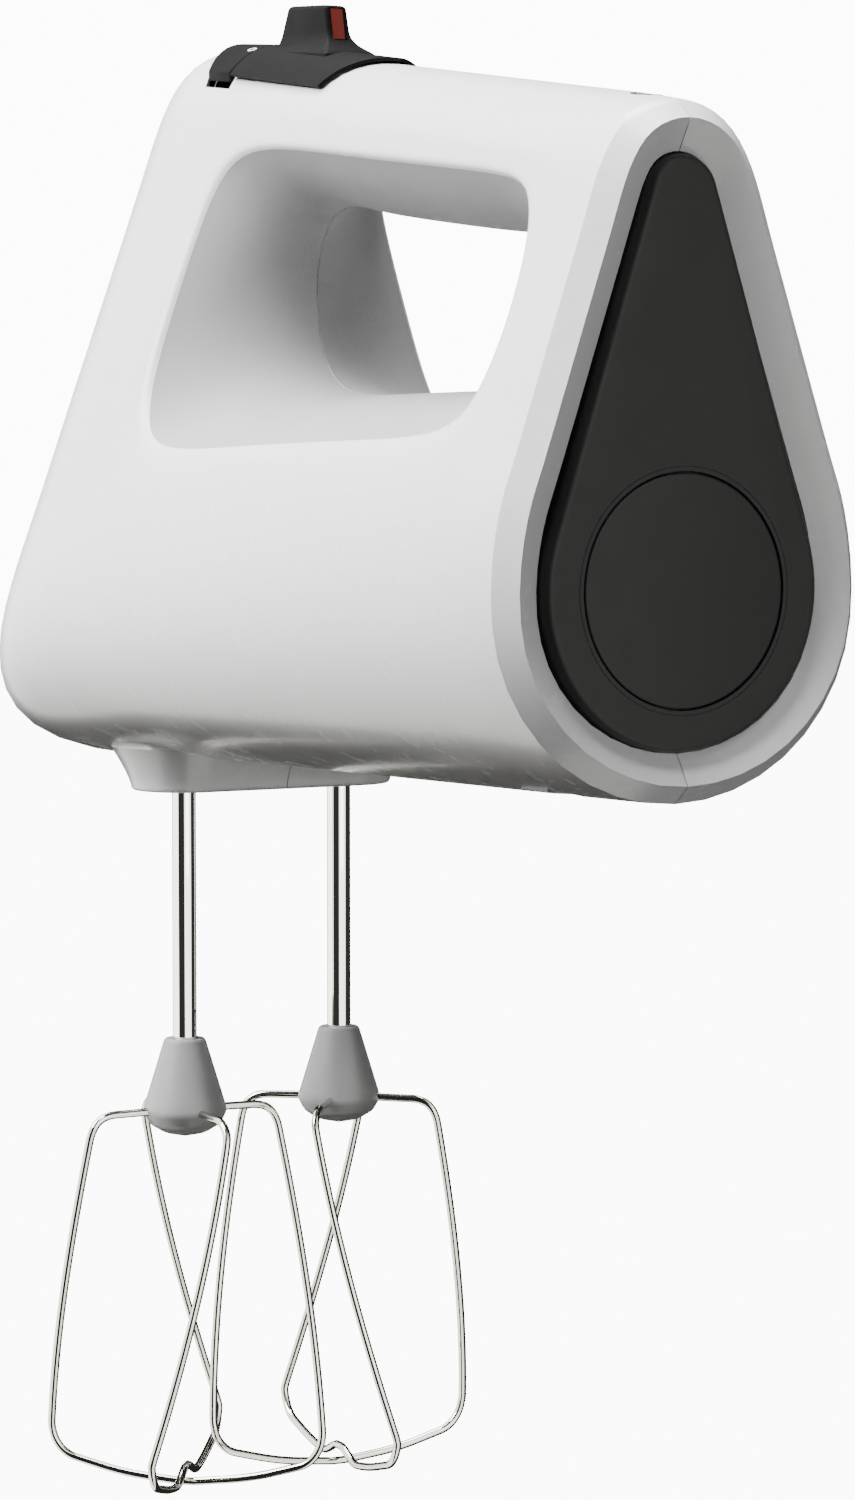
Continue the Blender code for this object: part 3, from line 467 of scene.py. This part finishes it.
def housing_ring(station, y, edge):
    """Control points of one station; None where the hand opening is."""
    insets = [PLATE_INSET, PLATE_INSET, RIM_INSET, 0.0]
    ring = []
    for row in range(HALF_ROWS + 1):
        if station < len(insets):
            x, z = row_point(row, 0.0, insets[station])
            ring.append((x, y, z))
        elif (station, row) in edge:
            place_y, z = edge[station, row]
            ring.append((flank_x(place_y, z), place_y, z))
        elif OPEN_FIRST < station < OPEN_LAST and OPEN_TOP_ROW < row < OPEN_LOW_ROW:
            ring.append(None)
        else:
            flank_z = None
            if row == 3 and OPEN_FIRST <= station <= OPEN_LAST:
                flank_z = (row_point(2, y)[1] + edge[station, OPEN_TOP_ROW][1]) / 2
            x, z = row_point(row, y, flank_z=flank_z)
            ring.append((x, nose_y(y, z), z))
    return ring


def housing_cage():
    """Control points of the outer surface: rings of rows at each station, then the nose cap."""
    edge = opening_outline()
    rings = [housing_ring(station, y, edge) for station, y in enumerate(STATIONS)]
    for y, share in NOSE:
        ring = []
        for row in range(HALF_ROWS + 1):
            x, z = row_point(row, STATIONS[-1])
            fullness = 0.45 if z > NOSE_MIDDLE else 0.10
            height = NOSE_MIDDLE + (z - NOSE_MIDDLE) * (1 - (1 - share) * fullness)
            narrow = 1 - (1 - share) * (1 - 0.6 * min(1.0, max(0.0, -z / 40)))
            ring.append((x * narrow, nose_y(y, height), height))
        rings.append(ring)
    return rings


class Cage:
    """Collects named control points and the faces between them, on both sides of the mid-plane."""

    def __init__(self):
        self.points, self.index, self.faces, self.inside = [], {}, [], []

    def put(self, key, point):
        """Adds a point and its mirror image; a point on the mid-plane is shared."""
        x, y, z = point
        for side in (1, -1):
            if side == -1 and abs(x) < 1e-6:
                self.index[key, -1] = self.index[key, 1]
                continue
            self.index[key, side] = len(self.points)
            self.points.append((x * side, y, z))

    def face(self, keys, inside=False):
        for side in (1, -1):
            loop = list(dict.fromkeys(self.index[key, side] for key in keys))
            self.faces.append(loop if side == 1 else loop[::-1])
            self.inside.append(inside)


def add_skin(cage, rings):
    for station, ring in enumerate(rings):
        for row, point in enumerate(ring):
            if point is not None:
                x, y, z = point
                cage.put((station, row), (0.0 if row in (0, HALF_ROWS) else x, y, z))
    for station in range(len(rings) - 1):
        for row in range(HALF_ROWS):
            if not (OPEN_FIRST <= station < OPEN_LAST and OPEN_TOP_ROW <= row < OPEN_LOW_ROW):
                cage.face([(station, row), (station, row + 1),
                           (station + 1, row + 1), (station + 1, row)])


def add_nose_tip(cage, rings):
    last = len(rings) - 1
    for row in range(HALF_ROWS + 1):
        _, y, z = rings[last][row]
        cage.put(("tip", row), (0.0, y + (1.0 if 0 < row < HALF_ROWS else 0.0), z))
    for row in (0, HALF_ROWS):
        for side in (1, -1):
            cage.index[("tip", row), side] = cage.index[(last, row), 1]
    for row in range(HALF_ROWS):
        cage.face([(last, row), (last, row + 1), ("tip", row + 1), ("tip", row)])


# (share of the width, pull to the waist)
TUNNEL_LEVELS = ((0.955, 0.035), (0.86, 0.22), (0.55, 0.68))


def add_tunnel(cage):
    """The wall of the hand opening, from its edge on each flank to the waist between them."""
    waist = opening_waist()
    border = [(s, OPEN_TOP_ROW) for s in range(OPEN_FIRST, OPEN_LAST)]
    border += [(OPEN_LAST, r) for r in range(OPEN_TOP_ROW, OPEN_LOW_ROW)]
    border += [(s, OPEN_LOW_ROW) for s in range(OPEN_LAST, OPEN_FIRST, -1)]
    border += [(OPEN_FIRST, r) for r in range(OPEN_LOW_ROW, OPEN_TOP_ROW, -1)]
    depth = len(TUNNEL_LEVELS) + 1
    for key in border:
        x, y, z = cage.points[cage.index[key, 1]]
        mid_y, mid_z = waist[key]
        for level, (share, pull) in enumerate(TUNNEL_LEVELS, start=1):
            cage.put((key, level), (x * share, y + (mid_y - y) * pull, z + (mid_z - z) * pull))
        cage.put((key, depth), (0.0, mid_y, mid_z))
        for side in (1, -1):
            cage.index[(key, 0), side] = cage.index[key, side]
    for i, key in enumerate(border):
        after = border[(i + 1) % len(border)]
        for level in range(depth):
            cage.face([(key, level), (after, level), (after, level + 1), (key, level + 1)],
                      inside=level > 0)


def housing_surface():
    """The housing's whole outer surface as an object, open only at the recess of the rear plate."""
    rings = housing_cage()
    cage = Cage()
    add_skin(cage, rings)
    add_nose_tip(cage, rings)
    add_tunnel(cage)
    used = sorted({i for face in cage.faces for i in face})
    renumber = {old: new for new, old in enumerate(used)}
    mesh = bpy.data.meshes.new("housing_surface")
    faces = [[renumber[i] for i in face] for face in cage.faces]
    mesh.from_pydata([Vector(cage.points[i]) * MM for i in used], [], faces)
    mesh.materials.append(MATERIALS["shell"])
    mesh.materials.append(MATERIALS["tunnel"])
    # Faces inside the hand opening take the second material, whose darker colour is painted shade
    for polygon, inside in zip(mesh.polygons, cage.inside):
        polygon.material_index = int(inside)
    level_of = {}
    for station in (1, 2, 3):
        for row in range(HALF_ROWS + 1):
            for side in (1, -1):
                level_of[renumber[cage.index[(station, row), side]]] = station
    edit = bmesh.new()
    edit.from_mesh(mesh)
    bmesh.ops.recalc_face_normals(edit, faces=edit.faces)
    crease = edit.edges.layers.float.new("crease_edge")
    for line in edit.edges:
        ends = [level_of.get(v.index) for v in line.verts]
        if ends[0] and ends[0] == ends[1]:
            line[crease] = RIM_CREASE
    edit.to_mesh(mesh)
    edit.free()
    made = bpy.data.objects.new("housing_surface", mesh)
    bpy.context.scene.collection.objects.link(made)
    return made


def skirt_ring(radius, z, count=24):
    """A stadium round both spindle axes."""
    ring = []
    for side, start in ((1, -math.pi / 2), (-1, math.pi / 2)):
        for j in range(count + 1):
            turn = start + math.pi * j / count
            x = side * SPINDLE_X + radius * math.cos(turn)
            ring.append((x, SPINDLE_Y + radius * math.sin(turn), z))
    return ring


def make_skirt():
    """The flared skirt round the spindles, with a rounded lower edge."""
    edge_steps, flare_steps = 4, 10
    rings = []
    for i in range(edge_steps + 1):
        turn = math.pi / 2 * i / edge_steps
        radius = SKIRT_R - SKIRT_EDGE + SKIRT_EDGE * math.sin(turn)
        rings.append(skirt_ring(radius, SKIRT_BOTTOM + SKIRT_EDGE - SKIRT_EDGE * math.cos(turn)))
    for i in range(1, flare_steps + 1):
        share = i / flare_steps
        rings.append(skirt_ring(SKIRT_R + SKIRT_FLARE * share ** 1.25,
                                SKIRT_BOTTOM + SKIRT_EDGE + SKIRT_RISE * share))
    rings.append(skirt_ring(SKIRT_TOP_R, SKIRT_TOP))
    return stacked("skirt", rings)


def make_shells():
    """The right half of the housing with its holes, and the left half as its mirror image."""
    whole = housing_surface()
    smooth = whole.modifiers.new("smooth", "SUBSURF")
    smooth.levels = smooth.render_levels = FINE
    wall = whole.modifiers.new("wall", "SOLIDIFY")
    wall.thickness = WALL * MM
    wall.offset = -1.0
    evaluated(whole)
    cut(whole, box("right_side", (PARTING, *PAST_LOW[1:]), PAST_HIGH), operation="INTERSECT")
    cut(whole, make_skirt(), operation="UNION")
    tools = [stacked("skirt_inside", [skirt_ring(SKIRT_INSIDE_R, z) for z in (SKIRT_FLOOR, ABOVE_BELLY)]),
             turned("cord_hole", [(CORD_HOLE_R, 80), (CORD_HOLE_R, 100)], (0, CORD_Y, 0), sides=46),
             make_button_well(),
             box("stem_slot", (PARTING - 1, STEM_REAR, 95), (STEM_HALF, STEM_FRONT, PAST_CROWN)),
             box("left_side", PAST_LOW, (PARTING, *PAST_HIGH[1:])),
             make_vent_hole(),
             turned("socket", [(SOCKET_R, PAST_BELLY), (SOCKET_R, ABOVE_BELLY)],
                    (SPINDLE_X, SPINDLE_Y, 0), sides=48)]
    cut(whole, *tools)
    smooth_by_angle(whole, 32)
    whole.name = "right_shell"
    other = whole.copy()
    other.name = "left_shell"
    other.data = whole.data.copy()
    bpy.context.scene.collection.objects.link(other)
    other.data.transform(Matrix.Scale(-1, 4, Vector((1, 0, 0))))
    other.data.flip_normals()
    place(whole, "housing", "housing_white", "right_housing")
    place(other, "housing", "housing_white", "left_housing")


def make_button_well(steps=24, play=0.3):
    """The hole in the crown that the eject cap sinks into."""
    half = BUTTON_HALF + play
    ring = [(half, CAP_SPLIT + 0.1), (-half, CAP_SPLIT + 0.1)]
    for i in range(steps + 1):
        x = half * (2 * i / steps - 1)
        ring.append((x, cap_front(max(-BUTTON_HALF, min(BUTTON_HALF, x))) + play))
    return stacked("button_well", [[(x, y, z) for x, y in ring] for z in (97, PAST_CROWN)])


def make_vent_hole():
    """A rounded slot through the belly."""
    ring = []
    half_x, half_y, corner, centre_y = 15.2, 5.0, 4.0, 28.0
    for cx, cy, start in ((1, -1, -90), (1, 1, 0), (-1, 1, 90), (-1, -1, 180)):
        for j in range(7):
            turn = math.radians(start + 15 * j)
            ring.append((cx * (half_x - corner) + corner * math.cos(turn),
                         centre_y + cy * (half_y - corner) + corner * math.sin(turn)))
    return stacked("vent_hole", [[(x, y, z) for x, y in ring] for z in (PAST_BELLY, -33)])


# ---------------------------------------------------------------- rear end

def teardrop(inset, y, crown_steps=20, belly_steps=56):
    """The rear outline, moved in by inset, at y."""
    high_z, high_r = crown_z(0), crown_r(0)
    _, low_z, low_r = belly_circle(0)
    normal = math.pi / 2 - LEAN
    ring = []
    for j in range(crown_steps + 1):
        turn = -normal + 2 * normal * j / crown_steps
        radius = high_r - inset
        ring.append((radius * math.sin(turn), y, high_z + radius * math.cos(turn)))
    for j in range(belly_steps + 1):
        turn = normal + 2 * (math.pi - normal) * j / belly_steps
        radius = low_r - inset
        ring.append((radius * math.sin(turn), y, low_z + radius * math.cos(turn)))
    return ring


def make_rear_end():
    """The dark plate with a seat and a fine groove round it, and the disc in the seat."""
    base = PLATE_INSET + PLATE_GAP
    side = [(base, 4.9), (base, 2.3), (base + 0.55, 0.35), (base + 1.2, 0.02), (base + 1.6, 0.0)]
    outlines = [teardrop(inset, y) for inset, y in rounded(side, 0.5)]
    plate = stacked("rear_plate_face", outlines, "plate_dark")
    seat = turned("seat", [(DISC_SEAT_R, -5), (DISC_SEAT_R, DISC_THICK + 0.3)], (0, 0, 0),
                  axis="Y", sides=128)
    mouth, foot, depth = 0.14, 0.04, 0.22
    groove = [(DISC_BEAD_R - mouth, -1.0), (DISC_BEAD_R + mouth, -1.0),
              (DISC_BEAD_R + foot, depth), (DISC_BEAD_R - foot, depth)]
    ring = turned("bead", groove, (0, 0, 0), axis="Y", sides=128, hollow=True)
    cut(plate, seat, ring)
    smooth_by_angle(plate, 25)
    place(plate, "housing", "plate_dark", "rear_plate")
    edge = rounded([(0.5, 0.0), (DISC_R - 0.25, 0.0), (DISC_R, 0.3), (DISC_R, DISC_THICK)], 0.25)
    disc = turned("rear_disc_face", edge, (0, 0, 0), "plate_dark", axis="Y", sides=128, smooth=25)
    place(disc, "housing", "plate_dark", "rear_disc")


# ---------------------------------------------------------------- crown controls

def tail_y(turn):
    """Rear edge of the selector: a narrow tail on the crown that widens to the full saddle."""
    share = min(1.0, abs(turn) / CAP_SPREAD)
    return CAP_TAIL + (CAP_REAR - CAP_TAIL) * share ** 0.8


def crown_point(turn, y, radius):
    return radius * math.sin(turn), y, crown_top(y) - CAP_AXIS + radius * math.cos(turn)


FIN_REAR, FIN_FRONT, FIN_HALF = 130.1, 146.0, 2.6   # at its top
FIN_FLARE = 5.0                  # height over which the foot of the fin spreads
FIN_LOW, FIN_SEAT_R = 105.0, 16.2    # its lowest ring, and the radius it rests on inside the saddle
FIN_TILT = 0.065                 # its top falls this much per mm towards the rear
STRIP_ENDS = (110.3, FIN_TOP - 1.5)
STRIP_HALF, STRIP_GAP = 1.4, 0.25


def make_selector():
    """A saddle bent over the crown whose middle rises into a fin with a concave foot."""
    across, along = 48, 44
    front = CAP_SPLIT - 0.3
    upper, lower = [], []
    for i in range(across + 1):
        turn = -CAP_SPREAD + 2 * CAP_SPREAD * i / across
        rear = tail_y(turn)
        for j in range(along + 1):
            y = rear + (front - rear) * j / along
            upper.append(crown_point(turn, y, CAP_OUT - 0.02))
            lower.append(crown_point(turn, y, CAP_IN))
    faces = []
    count = len(upper)
    width = along + 1
    for i in range(across):
        for j in range(along):
            a = i * width + j
            faces.append((a, a + 1, a + width + 1, a + width))
            faces.append((count + a, count + a + width, count + a + width + 1, count + a + 1))
    border = list(range(width)) + [i * width + along for i in range(1, across + 1)]
    border += [across * width + j for j in range(along - 1, -1, -1)]
    border += [i * width for i in range(across - 1, 0, -1)]
    for a, b in zip(border, border[1:] + border[:1]):
        faces.append((a, count + a, count + b, b))
    saddle = solid("speed_selector_cap", upper + lower, faces, "control_dark")
    cut(saddle, make_fin(), operation="UNION")
    bed = stacked("strip_bed", [strip_ring(z, STRIP_HALF + STRIP_GAP, 4.0, 1.5) for z in STRIP_ENDS])
    cut(saddle, bed)
    smooth_by_angle(saddle, 30)
    place(saddle, "selector", "control_dark", "speed_selector")
    low, high = STRIP_ENDS
    slices = [strip_ring(z, STRIP_HALF, -0.15, 1.2) for z in (low + STRIP_GAP, high - STRIP_GAP)]
    strip = stacked("indicator_inlay", slices, "marker_red")
    place(strip, "selector", "marker_red", "indicator_strip")


def fin_rear(z):
    """Rear edge of the fin at height z."""
    return FIN_REAR - (FIN_TOP - z) * 0.20


def strip_ring(z, half, outside, depth):
    """A slice of the marker's groove in the fin's rear edge."""
    rear = fin_rear(z)
    return [(-half, rear - outside, z), (half, rear - outside, z),
            (half, rear + depth, z), (-half, rear + depth, z)]


def fin_ring(z):
    """The fin's outline at height z: a block that spreads in a hollow curve towards the crown."""
    foot = crown_top((FIN_REAR + FIN_FRONT) / 2) + 0.2
    near = min(1.2, max(0.0, 1 - (z - foot) / FIN_FLARE))
    spread = near ** 2.6
    top = max(0.0, 1 - (FIN_TOP - z) / 1.0)
    shrink = 0.7 * (1 - math.sqrt(max(0.0, 1 - top ** 2)))
    rise = (z - foot) / (FIN_TOP - foot)
    half = FIN_HALF + 0.3 * (1 - rise) + 2.0 * spread - shrink * 0.8
    rear = fin_rear(z) - 2.6 * spread + shrink
    front = min(CAP_SPLIT - 0.5, FIN_FRONT + (FIN_TOP - z) * 0.45 + 0.8 * spread - shrink)
    corner = 0.7
    ring = []
    for sx, y, start in ((1, rear, -90), (1, front, 0), (-1, front, 90), (-1, rear, 180)):
        inward = 1 if y == rear else -1
        for j in range(6):
            turn = math.radians(start + 18 * j)
            x = sx * (half - corner) + corner * math.cos(turn)
            place_y = y + inward * corner + corner * math.sin(turn)
            fall = max(0.0, (FIN_FRONT - place_y) * FIN_TILT * max(0.0, rise))
            seat = crown_point(math.asin(x / FIN_SEAT_R), place_y, FIN_SEAT_R)[2]
            ring.append((x, place_y, max(z - fall, seat + 0.01 * (z - FIN_LOW))))
    return ring


def make_fin(steps=26):
    rings = []
    for i in range(steps + 1):
        share = i / steps
        rings.append(fin_ring(FIN_LOW + (FIN_TOP - FIN_LOW) * (1 - (1 - share) ** 1.25)))
    return stacked("fin", rings)


def cap_front(x):
    """Front edge of the eject cap, which runs back towards its sides."""
    return CAP_FRONT - CAP_SLANT * abs(x / BUTTON_HALF) ** 1.5


def make_eject_cap(steps=40):
    """A cap with the crown's curve on top and straight sides."""
    # (share of the length, drop)
    edges = ((0.0, 0.35), (0.03, 0.0), (0.92, 0.0), (0.975, 0.25), (1.0, 0.8))
    rear = CAP_SPLIT + 0.25
    turns = [BUTTON_SPREAD * (2 * i / steps - 1) for i in range(steps + 1)]
    rings = []
    for share, drop in edges:
        top = []
        for turn in turns:
            y = rear + (cap_front(CAP_OUT * math.sin(turn)) - rear) * share
            top.append(crown_point(turn, y, CAP_OUT - drop))
        rings.append(top + [(x, y, z - BUTTON_DEPTH + drop) for x, y, z in reversed(top)])
    cap = stacked("eject_cap", rings, "control_dark", smooth=30)
    place(cap, "ejector", "control_dark", "eject_button")


def make_zero_mark(turn=math.radians(-24), y=154.2):
    """A small printed ring for the off position."""
    rings = []
    for radius, lift in ((1.15, 0.0), (1.15, 0.05), (0.72, 0.05), (0.72, 0.0)):
        ring = []
        for j in range(32):
            angle = 2 * math.pi * j / 32
            around = turn + radius * 0.8 * math.cos(angle) / CAP_OUT
            ring.append(crown_point(around, y + radius * 1.15 * math.sin(angle), CAP_OUT + lift))
        rings.append(ring)
    mark = stacked("zero_mark", rings, "mark_white", closed=True)
    place(mark, "ejector", "housing_white")


# ---------------------------------------------------------------- whisks

def arm_profile():
    """(radius, height) of a cage arm from the collar down to the bottom centre, with round bends."""
    corners = [(5.0, CAGE_TOP), (CAGE_TOP_R - 0.6, CAGE_TOP - 0.2), (CAGE_LOW_R, CAGE_LOW - 0.5),
               (CAGE_LOW_R - 3.0, CAGE_LOW - 5.2), (14.0, CAGE_BOTTOM + 1.4), (0.0, CAGE_BOTTOM)]
    bent = rounded(corners, 5.2, steps=10)
    fine = []
    for (r0, z0), (r1, z1) in zip(bent, bent[1:]):
        pieces = max(1, round(math.hypot(r1 - r0, z1 - z0) / 1.4))
        for i in range(pieces):
            fine.append((r0 + (r1 - r0) * i / pieces, z0 + (z1 - z0) * i / pieces))
    return fine


def make_wire(name, x, phase, twist, hump):
    """One wire from the collar down, across the bottom and up to the collar again."""
    path = []
    arm = arm_profile()
    twist_start = CAGE_TOP - 3.0
    for half in (0, 1):
        stretch = []
        for radius, height in arm:
            share = min(1.0, max(0.0, (twist_start - height) / (twist_start - CAGE_LOW)))
            turn = phase + twist * share + math.pi * half
            near = max(0.0, 1 - radius / 9.0) if height < CAGE_LOW else 0.0
            lift = hump * (3 * near ** 2 - 2 * near ** 3)
            stretch.append((x + radius * math.cos(turn), SPINDLE_Y + radius * math.sin(turn),
                            height + lift))
        path += stretch if half == 0 else stretch[::-1]
    curve = bpy.data.curves.new(name, "CURVE")
    curve.dimensions = "3D"
    spline = curve.splines.new("POLY")
    spline.points.add(len(path) - 1)
    for point, spot in zip(spline.points, path):
        point.co = (*(Vector(spot) * MM), 1.0)
    curve.bevel_depth = WIRE_R * MM
    curve.bevel_resolution = 4
    curve.use_fill_caps = True
    curve.materials.append(MATERIALS["whisk_wire"])
    made = bpy.data.objects.new(name, curve)
    bpy.context.scene.collection.objects.link(made)
    return made


def make_whisk(side, x, phase, twist):
    """Shaft, collar and two wires of one whisk. Turned ends stop just short of the axis."""
    body = f"{side}_whisk"
    centre = (x, SPINDLE_Y, 0)
    near_axis = 0.4
    profile = [(near_axis, SHAFT_END), (SHAFT_R, SHAFT_END), (SHAFT_R, SHAFT_TOP), (near_axis, SHAFT_TOP)]
    shaft = turned(f"{side}_whisk_stem", rounded(profile, 0.5), centre, "whisk_chrome")
    place(shaft, body, "whisk_chrome", f"{side}_whisk_shaft")
    profile = [(2.9, COLLAR_TOP - 0.6), (3.9, COLLAR_TOP), (4.5, COLLAR_TOP - 0.5),
               (8.75, COLLAR_WIDE + 1.0), (9.0, COLLAR_WIDE - 0.6), (7.6, COLLAR_WIDE - 3.2),
               (4.6, COLLAR_BOTTOM + 0.9), (near_axis, COLLAR_BOTTOM)]
    collar = turned(f"{side}_whisk_cone", rounded(profile, 0.9), centre, "collar_grey",
                    sides=72, smooth=50)
    place(collar, body, "collar_grey", f"{side}_whisk_collar")
    for i, name in enumerate("ab"):
        wire = make_wire(f"{side}_whisk_wire_{name}", x, phase + math.pi / 2 * i, twist, 3.6 * i)
        place(wire, body, "whisk_chrome", f"{side}_whisk_loop_{name}")


# ---------------------------------------------------------------- studio

CAMERA_PLACE = Vector((-442.95, -657.54, 26.52))
CAMERA_TURN, CAMERA_PITCH = math.radians(30.556), math.radians(-4.04)
CAMERA_LENS, CAMERA_SHIFT = 103.7, 0.0008


def make_camera():
    data = bpy.data.cameras.new("camera")
    data.lens = CAMERA_LENS
    data.sensor_width = 36.0
    data.shift_y = CAMERA_SHIFT
    data.clip_start, data.clip_end = 0.05, 50.0
    camera = bpy.data.objects.new("camera", data)
    level = math.cos(CAMERA_PITCH)
    look = Vector((math.sin(CAMERA_TURN) * level, math.cos(CAMERA_TURN) * level, math.sin(CAMERA_PITCH)))
    camera.location = CAMERA_PLACE * MM
    camera.rotation_euler = look.to_track_quat("-Z", "Y").to_euler()
    bpy.context.scene.collection.objects.link(camera)
    bpy.context.scene.camera = camera


def make_lamp(name, place_mm, target_mm, size_mm, power):
    data = bpy.data.lights.new(name, "AREA")
    data.shape = "RECTANGLE"
    data.size, data.size_y = size_mm[0] * MM, size_mm[1] * MM
    data.energy = power
    lamp = bpy.data.objects.new(name, data)
    lamp.location = Vector(place_mm) * MM
    lamp.rotation_euler = (Vector(target_mm) - Vector(place_mm)).to_track_quat("-Z", "Y").to_euler()
    bpy.context.scene.collection.objects.link(lamp)


FLOOR_DROP, FLOOR_HALF = 150.0, 9000     # its depth below the object, and half its width
BACKDROP = 12.0                  # brightness of floor and backdrop as seen directly
AMBIENT = 0.11                   # and as light on the object
SHINE = 4.5                      # and as mirrored in glossy surfaces
# (part of a turn, level) of the flags round the horizon
FLAGS = ((0.0, 1.0), (0.010, 1.0), (0.020, 0.008), (0.178, 0.008), (0.192, 0.9), (0.35, 0.75),
         (0.37, 0.008), (0.77, 0.008), (0.785, 1.0), (1.0, 1.0))


def add_flags(tree, place):
    """Dark and bright flags round the horizon, from a direction or a place on the floor."""
    round_about = tree.nodes.new("ShaderNodeTexGradient")
    round_about.gradient_type = "RADIAL"
    tree.links.new(place, round_about.inputs["Vector"])
    ramp = tree.nodes.new("ShaderNodeValToRGB")
    stops = ramp.color_ramp.elements
    while len(stops) < len(FLAGS):
        stops.new(0.5)
    for stop, (position, level) in zip(stops, FLAGS):
        stop.position = position
        stop.color = (level, level * 0.99, level * 0.94, 1)
    tree.links.new(round_about.outputs["Fac"], ramp.inputs["Fac"])
    return ramp.outputs["Color"]


def split_by_ray(tree, seen, gentle, mirrored):
    """One light as seen directly, one as mirrored in gloss and one for all else."""
    path = tree.nodes.new("ShaderNodeLightPath")
    by_gloss = tree.nodes.new("ShaderNodeMixShader")
    by_camera = tree.nodes.new("ShaderNodeMixShader")
    tree.links.new(path.outputs["Is Glossy Ray"], by_gloss.inputs[0])
    tree.links.new(gentle.outputs[0], by_gloss.inputs[1])
    tree.links.new(mirrored.outputs[0], by_gloss.inputs[2])
    tree.links.new(path.outputs["Is Camera Ray"], by_camera.inputs[0])
    tree.links.new(by_gloss.outputs[0], by_camera.inputs[1])
    tree.links.new(seen.outputs[0], by_camera.inputs[2])
    return by_camera.outputs[0]


def make_world():
    """An even white backdrop that lights the object gently, with dark flags for the metal to mirror."""
    world = bpy.data.worlds.new("studio")
    world.use_nodes = True
    tree = world.node_tree
    seen = tree.nodes["Background"]
    seen.inputs["Strength"].default_value = BACKDROP
    seen.inputs["Color"].default_value = (1, 1, 1, 1)
    gentle = tree.nodes.new("ShaderNodeBackground")
    gentle.inputs["Strength"].default_value = AMBIENT
    gentle.inputs["Color"].default_value = (1, 1, 1, 1)
    mirrored = tree.nodes.new("ShaderNodeBackground")
    mirrored.inputs["Strength"].default_value = SHINE
    direction = tree.nodes.new("ShaderNodeTexCoord").outputs["Generated"]
    tree.links.new(add_flags(tree, direction), mirrored.inputs["Color"])
    tree.links.new(split_by_ray(tree, seen, gentle, mirrored), tree.nodes["World Output"].inputs["Surface"])
    bpy.context.scene.world = world


def make_floor():
    """A pale floor that glows as evenly as the backdrop and throws little light back."""
    low = cad_box[0][2] / MM - FLOOR_DROP
    wide = FLOOR_HALF
    floor = stacked("floor", [[(-wide, -wide, z), (wide, -wide, z), (wide, wide, z), (-wide, wide, z)]
                              for z in (low - 10, low)])
    paper = bpy.data.materials.new("floor_paper")
    paper.use_nodes = True
    tree = paper.node_tree
    tree.nodes.clear()
    seen = tree.nodes.new("ShaderNodeEmission")
    seen.inputs["Strength"].default_value = BACKDROP * 0.9
    gentle = tree.nodes.new("ShaderNodeEmission")
    gentle.inputs["Strength"].default_value = AMBIENT * 0.8
    mirrored = tree.nodes.new("ShaderNodeEmission")
    mirrored.inputs["Strength"].default_value = SHINE
    shift = tree.nodes.new("ShaderNodeMapping")
    shift.inputs["Location"].default_value = (0, -SPINDLE_Y * MM, 0)
    tree.links.new(tree.nodes.new("ShaderNodeTexCoord").outputs["Object"], shift.inputs["Vector"])
    tree.links.new(add_flags(tree, shift.outputs["Vector"]), mirrored.inputs["Color"])
    tree.links.new(split_by_ray(tree, seen, gentle, mirrored),
                   tree.nodes.new("ShaderNodeOutputMaterial").inputs["Surface"])
    floor.data.materials.append(paper)


def make_studio():
    make_world()
    make_floor()
    middle = (0, 100, 20)
    make_lamp("side_light", (-1150, 420, 980), middle, (1100, 800), 66)
    make_lamp("top_light", (-150, 350, 1500), middle, (1400, 1100), 105)
    make_lamp("rear_fill", (150, -1600, 200), middle, (900, 900), 8)


# ---------------------------------------------------------------- assembly

make_shells()
make_rear_end()
make_selector()
make_eject_cap()
make_zero_mark()
make_whisk("left", -SPINDLE_X, math.radians(-3.0), TWIST)
make_whisk("right", SPINDLE_X, math.radians(-43.2), -TWIST)
for node, made in frame["nodes"].items():
    made.data.materials.clear()
    made.data.materials.append(MATERIALS[SLOT_OF[node]])
make_camera()
make_studio()
